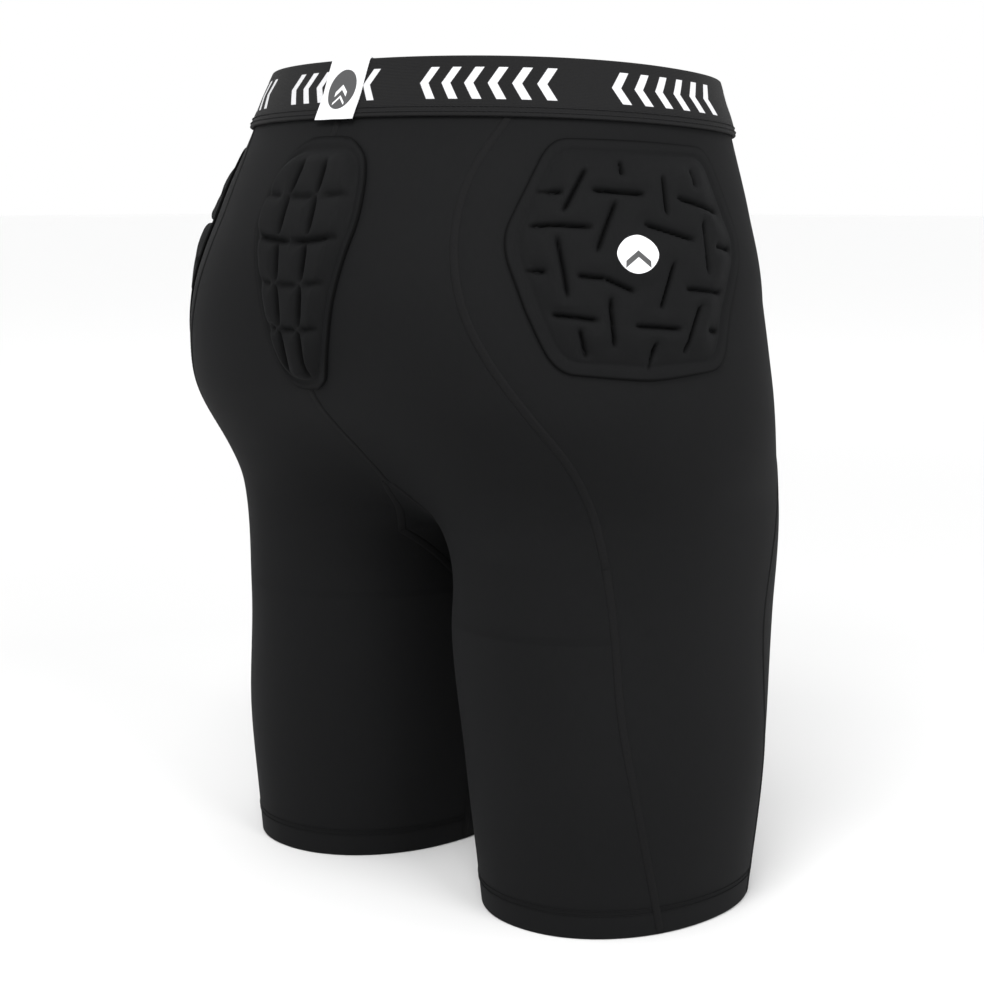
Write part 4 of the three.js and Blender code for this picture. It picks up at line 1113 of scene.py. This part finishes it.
# %% Hip pad outline and slots
HIP_MIDDLE = BAND_FOOT - HIP_PAD_DROP - HIP_PAD_HEIGHT / 2
CORNERS = HIP_PAD_HEIGHT * np.array([[-0.38, -0.445], [0.04, -0.49], [0.46, -0.455], [0.65, 0.07],
                                     [0.43, 0.5], [0.05, 0.505], [-0.345, 0.5], [-0.57, 0.07]])
SLOTS = [
    (-47, 36, -35, 35), (-19, 36, 7, 35), (28, 34, 56, 28), (-51, 19, -21, 18), (8, 20, 37, 13),
    (54, 10, 67, 9), (-54, -2, -45, -3), (-28, -5, -15, -6), (-15, -6, 0, -12), (32, -11, 57, -13),
    (-41, -23, -20, -26), (1, -29, 26, -31), (47, -32, 54, -33), (-23, 46, -34, 26), (-4, 51, -4, 45),
    (19, 44, 21, 26), (38, 48, 40, 41), (-8, 30, -18, 7), (45, 22, 47, -3), (-38, 12, -34, -14),
    (24, 1, 16, -20), (-12, -16, -12, -38), (41, -20, 29, -42), (-29, -31, -27, -43), (11, -38, 6, -50),
]
SLOT_ORIGIN = (2.0, 2.5)
SLOT_PIECES = [piece for slot in SLOTS for piece in strokes(np.reshape(slot, (2, 2)) - SLOT_ORIGIN)]
DISC_RADIUS = 62  # of the round middle, which is drawn out to the outline


def outline_radius(angle):
    """How far the outline lies from the middle in each direction. The corners are rounded by
    blending each with its neighbours over a fifth of every edge."""
    before, after = np.roll(CORNERS, 1, axis=0), np.roll(CORNERS, -1, axis=0)
    t = np.linspace(0, 1, 9)[:, None, None]
    a, b = CORNERS + (before - CORNERS) * 0.2, CORNERS + (after - CORNERS) * 0.2
    bend = (1 - t) ** 2 * a + 2 * t * (1 - t) * CORNERS + t * t * b
    dense = bend.transpose(1, 0, 2).reshape(-1, 2)
    closed = np.concatenate([dense, dense[:1]])
    steps = np.linspace(0, 1, 12)[:-1, None]
    fine = (closed[:-1, None] * (1 - steps) + closed[1:, None] * steps).reshape(-1, 2)
    theta = np.arctan2(fine[:, 1], fine[:, 0])
    order = np.argsort(theta)
    return np.interp(angle, theta[order], np.hypot(*fine[order].T), period=2 * np.pi)


def hip_spot(u, v):
    """Across, up and distance inside the rim for a spot of the square, u and v from -1 to 1."""
    x, y = u * np.sqrt(1 - v * v / 2), v * np.sqrt(1 - u * u / 2)
    rho, angle = np.hypot(x, y), np.arctan2(y, x)
    full = outline_radius(angle)
    radius = rho * (DISC_RADIUS + (full - DISC_RADIUS) * smoothstep(rho))
    return radius * np.cos(angle), radius * np.sin(angle), (full - radius) * 0.97


def hip_height(x, y, inside):
    """The moulded height, how near a slot is, and how deep it cuts there."""
    near_slot, narrow = nearest_slot(x, y, SLOT_PIECES, 0.9)
    wide = nearest_slot(x, y, SLOT_PIECES, 2.8)[1]
    return moulded(inside, near_slot, narrow, wide, 7.0, 16.0, 5.9, 4.0), near_slot, narrow


def hip_place(side, x, y, depth):
    """From the pad's own plane to the body: up is height, across is distance round the body."""
    z = HIP_MIDDLE + y
    point, normal = skin(side, 0.4 * ring_length(z) + x, z)
    return place(point, normal, depth)


COARSE, FINE = 73, 145
side_u, side_v = np.meshgrid(np.linspace(-1, 1, COARSE), np.linspace(-1, 1, COARSE), indexing="ij")
x, y, inside = hip_spot(side_u, side_v)
rise, near_slot, narrow = hip_height(x, y, inside)
held = np.maximum(1 - smoothstep((inside - 8.5) / 3), np.exp(-(near_slot / 2.2) ** 2))
hip_swell = swell(hip_place(1, x, y, 0.2 + rise), np.round(held * 4) / 4, 1.2, 4)

# %% Build the hip pads
BACKING_OUTSIDE, BACKING_INSIDE = -2.5, -3.3
EMBLEM_HALF_WIDTH, EMBLEM_HALF_HEIGHT, EMBLEM_RAISED = 11, 9, 0.035


def pad_mesh(name, top, bottom, uv, painted_shade):
    """A closed pad. Its painted shade attribute marks where the material paints shade: the slots and the rim.
    """
    obj = sheet_mesh(name, top, bottom, uv)
    outward(obj)
    # The attribute holds painted shade for the outer face and none for the inner face.
    marks = obj.data.attributes.new("painted_shade", "FLOAT", "POINT")
    marks.data.foreach_set("value", np.concatenate([painted_shade.ravel(), 0 * painted_shade.ravel()]).astype(np.float32))
    print(name, "has", len(obj.data.polygons), "faces")
    return obj


side_u, side_v = np.meshgrid(np.linspace(-1, 1, FINE), np.linspace(-1, 1, FINE), indexing="ij")
x, y, inside = hip_spot(side_u, side_v)
rise, near_slot, painted_shade = hip_height(x, y, inside)
rise = rise + look(hip_swell, side_u / 2 + 0.5, side_v / 2 + 0.5)
# Painted shade: a mask, darkest in the slots and along the pad's rim, where shade falls; the material paints
# these places near-black.
painted_shade = np.maximum(painted_shade * smoothstep(inside / 8), 1 - smoothstep(inside / 2.0))
tuck = 1 - 0.9 / np.maximum(np.hypot(x, y), 5)
hip_uv = np.stack([x, y], -1) / 1000
a, t = np.meshgrid(np.linspace(0, 1, 25), np.linspace(0, 2 * np.pi, 97), indexing="ij")
emblem_u = a * EMBLEM_HALF_WIDTH / DISC_RADIUS * np.sign(np.cos(t)) * np.abs(np.cos(t)) ** 1.1
emblem_v = (EMBLEM_RAISED + a * EMBLEM_HALF_HEIGHT / DISC_RADIUS * np.sign(np.sin(t))
            * np.abs(np.sin(t)) ** 1.1)
ex, ey, e_inside = hip_spot(emblem_u, emblem_v)
e_rise = hip_height(ex, ey, e_inside)[0] + look(hip_swell, emblem_u / 2 + 0.5, emblem_v / 2 + 0.5)
e_rise = np.maximum(e_rise, e_rise.max() - 1.2)
emblem_uv = np.stack([ex, ey - DISC_RADIUS * EMBLEM_RAISED], -1) / 1000
for side, word in ((1, "left"), (-1, "right")):
    cover = pad_mesh(f"hip_pad_cover_{word}.padded", hip_place(side, x, y, 0.05 + rise),
                     hip_place(side, x * tuck, y * tuck, -0.25), hip_uv, painted_shade)
    finish_piece(cover, "pad fabric", [f"hip_pad_cover_{word}", f"hip_pad_core_{word}"])
    emblem = sheet_mesh(f"hip_emblem_{word}.transfer", hip_place(side, ex, ey, 0.22 + e_rise)[:, :-1],
                        hip_place(side, ex, ey, e_rise - 0.2)[:, :-1], emblem_uv, True)
    outward(emblem)
    finish_piece(emblem, "transfer", [f"hip_emblem_{word}"])
    keep = 0.9
    backing = pad_mesh(f"hip_pad_backing_{word}.mesh",
                       hip_place(side, x * keep, y * keep, BACKING_OUTSIDE),
                       hip_place(side, x * keep, y * keep, BACKING_INSIDE), hip_uv, 0 * painted_shade)
    finish_piece(backing, "lining mesh", [f"hip_pad_backing_{word}"])

# %% [markdown]
# ## Tailbone pad
# The tailbone pad is a long leaf down the middle of the back. Two upright slots and four level
# ones cut it into tiles, and its upper end stays smooth. Its grid has a row for each height.

# %% Tailbone pad
tail_levels = 1 + (TAIL_FOOT + np.array([0, 0.06, 0.18, 0.36, 0.53, 0.66, 0.8, 0.9, 1]) * TAIL_HEIGHT
                   - INSEAM) / RISE
tail_half = curve(tail_levels, [13, 18, 24, 30.5, 37, 41, 38.5, 33, 25])
tail_slot = curve(tail_levels, [6, 6.5, 7, 9, 11, 11.5, 10, 8.5, 8])


def tail_spot(u, v):
    """Across, height and distance inside the rim. The ends are rounded: near an end the half
    width loses what a quarter circle leaves out."""
    z = TAIL_FOOT + TAIL_HEIGHT * (v + 1) / 2
    half = tail_half(z)
    for end, radius in ((z - TAIL_FOOT, 9.0), (TAIL_FOOT + TAIL_HEIGHT - z, 16.0)):
        short = np.clip(radius - end, 0, radius)
        half = half - radius + np.sqrt(radius ** 2 - short ** 2)
    x = half * u
    lean = np.hypot(1, np.gradient(tail_half(z), axis=0) / np.gradient(z, axis=0))
    sides = np.minimum((half - np.abs(x)) / lean, 40)
    ends = np.minimum(z - TAIL_FOOT, (TAIL_FOOT + TAIL_HEIGHT - z) * 0.7)
    return x, z, np.maximum(smooth_min(sides, ends, 7.0), np.minimum(sides, ends) * 0.6)


def tail_slots():
    """Upright slots in five strokes a side, and four level rows that sag in the middle. Only the
    second row from the top is cut deep; the others are dents beside the upright slots."""
    found = []
    for low, high in ((0.075, 0.235), (0.275, 0.405), (0.445, 0.57), (0.615, 0.735), (0.765, 0.875)):
        z = TAIL_FOOT + np.linspace(low, high, 5) * TAIL_HEIGHT
        for side in (1, -1):
            found += strokes(np.stack([side * tail_slot(z), z], 1))
    whole, dents = [(-0.95, -0.06), (0.06, 0.95)], [(-0.95, -0.55), (-0.28, 0.28), (0.55, 0.95)]
    for share, drop, runs, strength in ((0.255, 1, dents, 0.6), (0.425, 2, dents, 0.55),
                                        (0.59, 3, whole, 0.9), (0.75, 2, dents, 0.55)):
        z = TAIL_FOOT + share * TAIL_HEIGHT
        width = float(tail_half(z)) - 8
        for begin, end in runs:
            t = np.linspace(begin, end, 6)
            found += strokes(np.stack([width * t, z + drop * (t * t - 0.5)], 1), strength)
    return found


TAIL_SLOTS = tail_slots()


def tail_grid(rows, columns):
    """Places on the pad, distance inside the rim, the slots, and the moulded height."""
    u, v = np.meshgrid(np.linspace(-1, 1, columns), np.linspace(-1, 1, rows))
    x, z, inside = tail_spot(u, v)
    near_slot, narrow = nearest_slot(x, z, TAIL_SLOTS, 1.5)
    wide = nearest_slot(x, z, TAIL_SLOTS, 3.0)[1]
    return x, z, inside, near_slot, narrow, moulded(inside, near_slot, narrow, wide, 5.0, 7.0, 6.6, 3.9)


def tail_place(x, z, depth):
    """From across and height to the body, on the middle line of the back."""
    point, normal = skin(1, x, z)
    return place(point, normal, depth)


x, z, inside, near_slot, narrow, rise = tail_grid(83, 53)
held = np.maximum(1 - smoothstep((inside - 5.5) / 3), np.exp(-(near_slot / 2.2) ** 2))
tail_swell = swell(tail_place(x, z, 0.2 + rise), np.round(held * 4) / 4, 0.8, 300)
x, z, inside, near_slot, painted_shade, rise = tail_grid(165, 105)
v, u = np.meshgrid(np.linspace(0, 1, 165), np.linspace(0, 1, 105), indexing="ij")
rise = rise + look(tail_swell, v, u)
# Painted shade: a mask, darkest in the slots and along the pad's rim, where shade falls; the material paints
# these places near-black.
painted_shade = np.maximum(painted_shade * smoothstep(inside / 6), 1 - smoothstep(inside / 2.0))
tuck = 1 - 0.9 / 30
tail_uv = np.stack([x, z], -1) / 1000
middle = TAIL_FOOT + TAIL_HEIGHT / 2
cover = pad_mesh("tail_pad_cover.padded", tail_place(x, z, 0.05 + rise),
                 tail_place(x * tuck, middle + (z - middle) * 0.986, -0.25), tail_uv, painted_shade)
finish_piece(cover, "pad fabric", ["tail_pad_cover", "tail_pad_core"])
smaller = x * 0.92, middle + (z - middle) * 0.94
backing = pad_mesh("tail_pad_backing.mesh", tail_place(*smaller, BACKING_OUTSIDE),
                   tail_place(*smaller, BACKING_INSIDE), tail_uv, 0 * painted_shade)
finish_piece(backing, "lining mesh", ["tail_pad_backing"])

# %% [markdown]
# ## Floor, light and camera
# The shorts stand on a pale floor in a white room. A large soft light overhead and one from each
# side keep black cloth readable: black shows its shape by its sheen, and sheen needs wide lights.
# The floor is a little darker near the shorts, so that less light comes up between the legs.

# %% Floor and room
floor = mesh_from("floor", np.array([[-40, -40, 0], [40, -40, 0], [40, 40, 0], [-40, 40, 0]], float),
                  np.array([[0, 1, 2, 3]]), np.zeros((1, 4, 2)))
s = Shader("pale floor")
spot = s.add("ShaderNodeTexCoord", None, (), "Object")
away = s.add("ShaderNodeVectorMath", {"operation": "LENGTH"}, [spot], "Value").soft_step(0.7, 3.0)
s.surface(s.mix(away, (0.68, 0.68, 0.68, 1), (0.96, 0.96, 0.96, 1)), s.noise(3.0, 2.0) * 0.05 + 0.8)
floor.data.materials.append(materials["pale floor"])
world = bpy.data.worlds.new("white room")
bpy.context.scene.world = world
world.use_nodes = True
world.node_tree.nodes["Background"].inputs[0].default_value = (1, 1, 1, 1)
world.node_tree.nodes["Background"].inputs[1].default_value = 0.78


def softbox(name, position, size, power):
    """A square area light that faces the middle of the shorts."""
    lamp = bpy.data.lights.new(name, "AREA")
    lamp.shape, lamp.size, lamp.energy = "SQUARE", size, power
    obj = bpy.data.objects.new(name, lamp)
    bpy.context.scene.collection.objects.link(obj)
    obj.location = position
    obj.rotation_euler = (Vector((0, 0, 0.27)) - Vector(position)).to_track_quat("-Z", "Y").to_euler()
    return obj


softbox("key", (-0.7, 1.3, 1.9), 1.0, 34)
softbox("left", (1.6, 1.2, 1.4), 1.0, 4)
softbox("right", (-1.9, 0.3, 1.0), 1.0, 19)

# %% Camera
# The angles, the target and the lens come from the same fit as the body's chart, at the best of
# the four distances that were tried.
camera = bpy.data.cameras.new("camera")
camera.sensor_width, camera.lens = 36.0, 70.48
camera_obj = bpy.data.objects.new("camera", camera)
bpy.context.scene.collection.objects.link(camera_obj)
turned, raised, away = 0.765, 0.151, 1.1
target = Vector((-0.04453, (44.5 - shift) / 1000, 0.23565))
toward = Vector((-math.sin(turned) * math.cos(raised), math.cos(turned) * math.cos(raised),
                 math.sin(raised)))
camera_obj.location = target + toward * away
camera_obj.rotation_euler = (-toward).to_track_quat("-Z", "Y").to_euler()
bpy.context.scene.camera = camera_obj
bpy.context.scene.view_settings.view_transform = "Standard"
bpy.context.scene.view_settings.exposure = 0.36
print("camera stands at", [round(v, 3) for v in camera_obj.location])
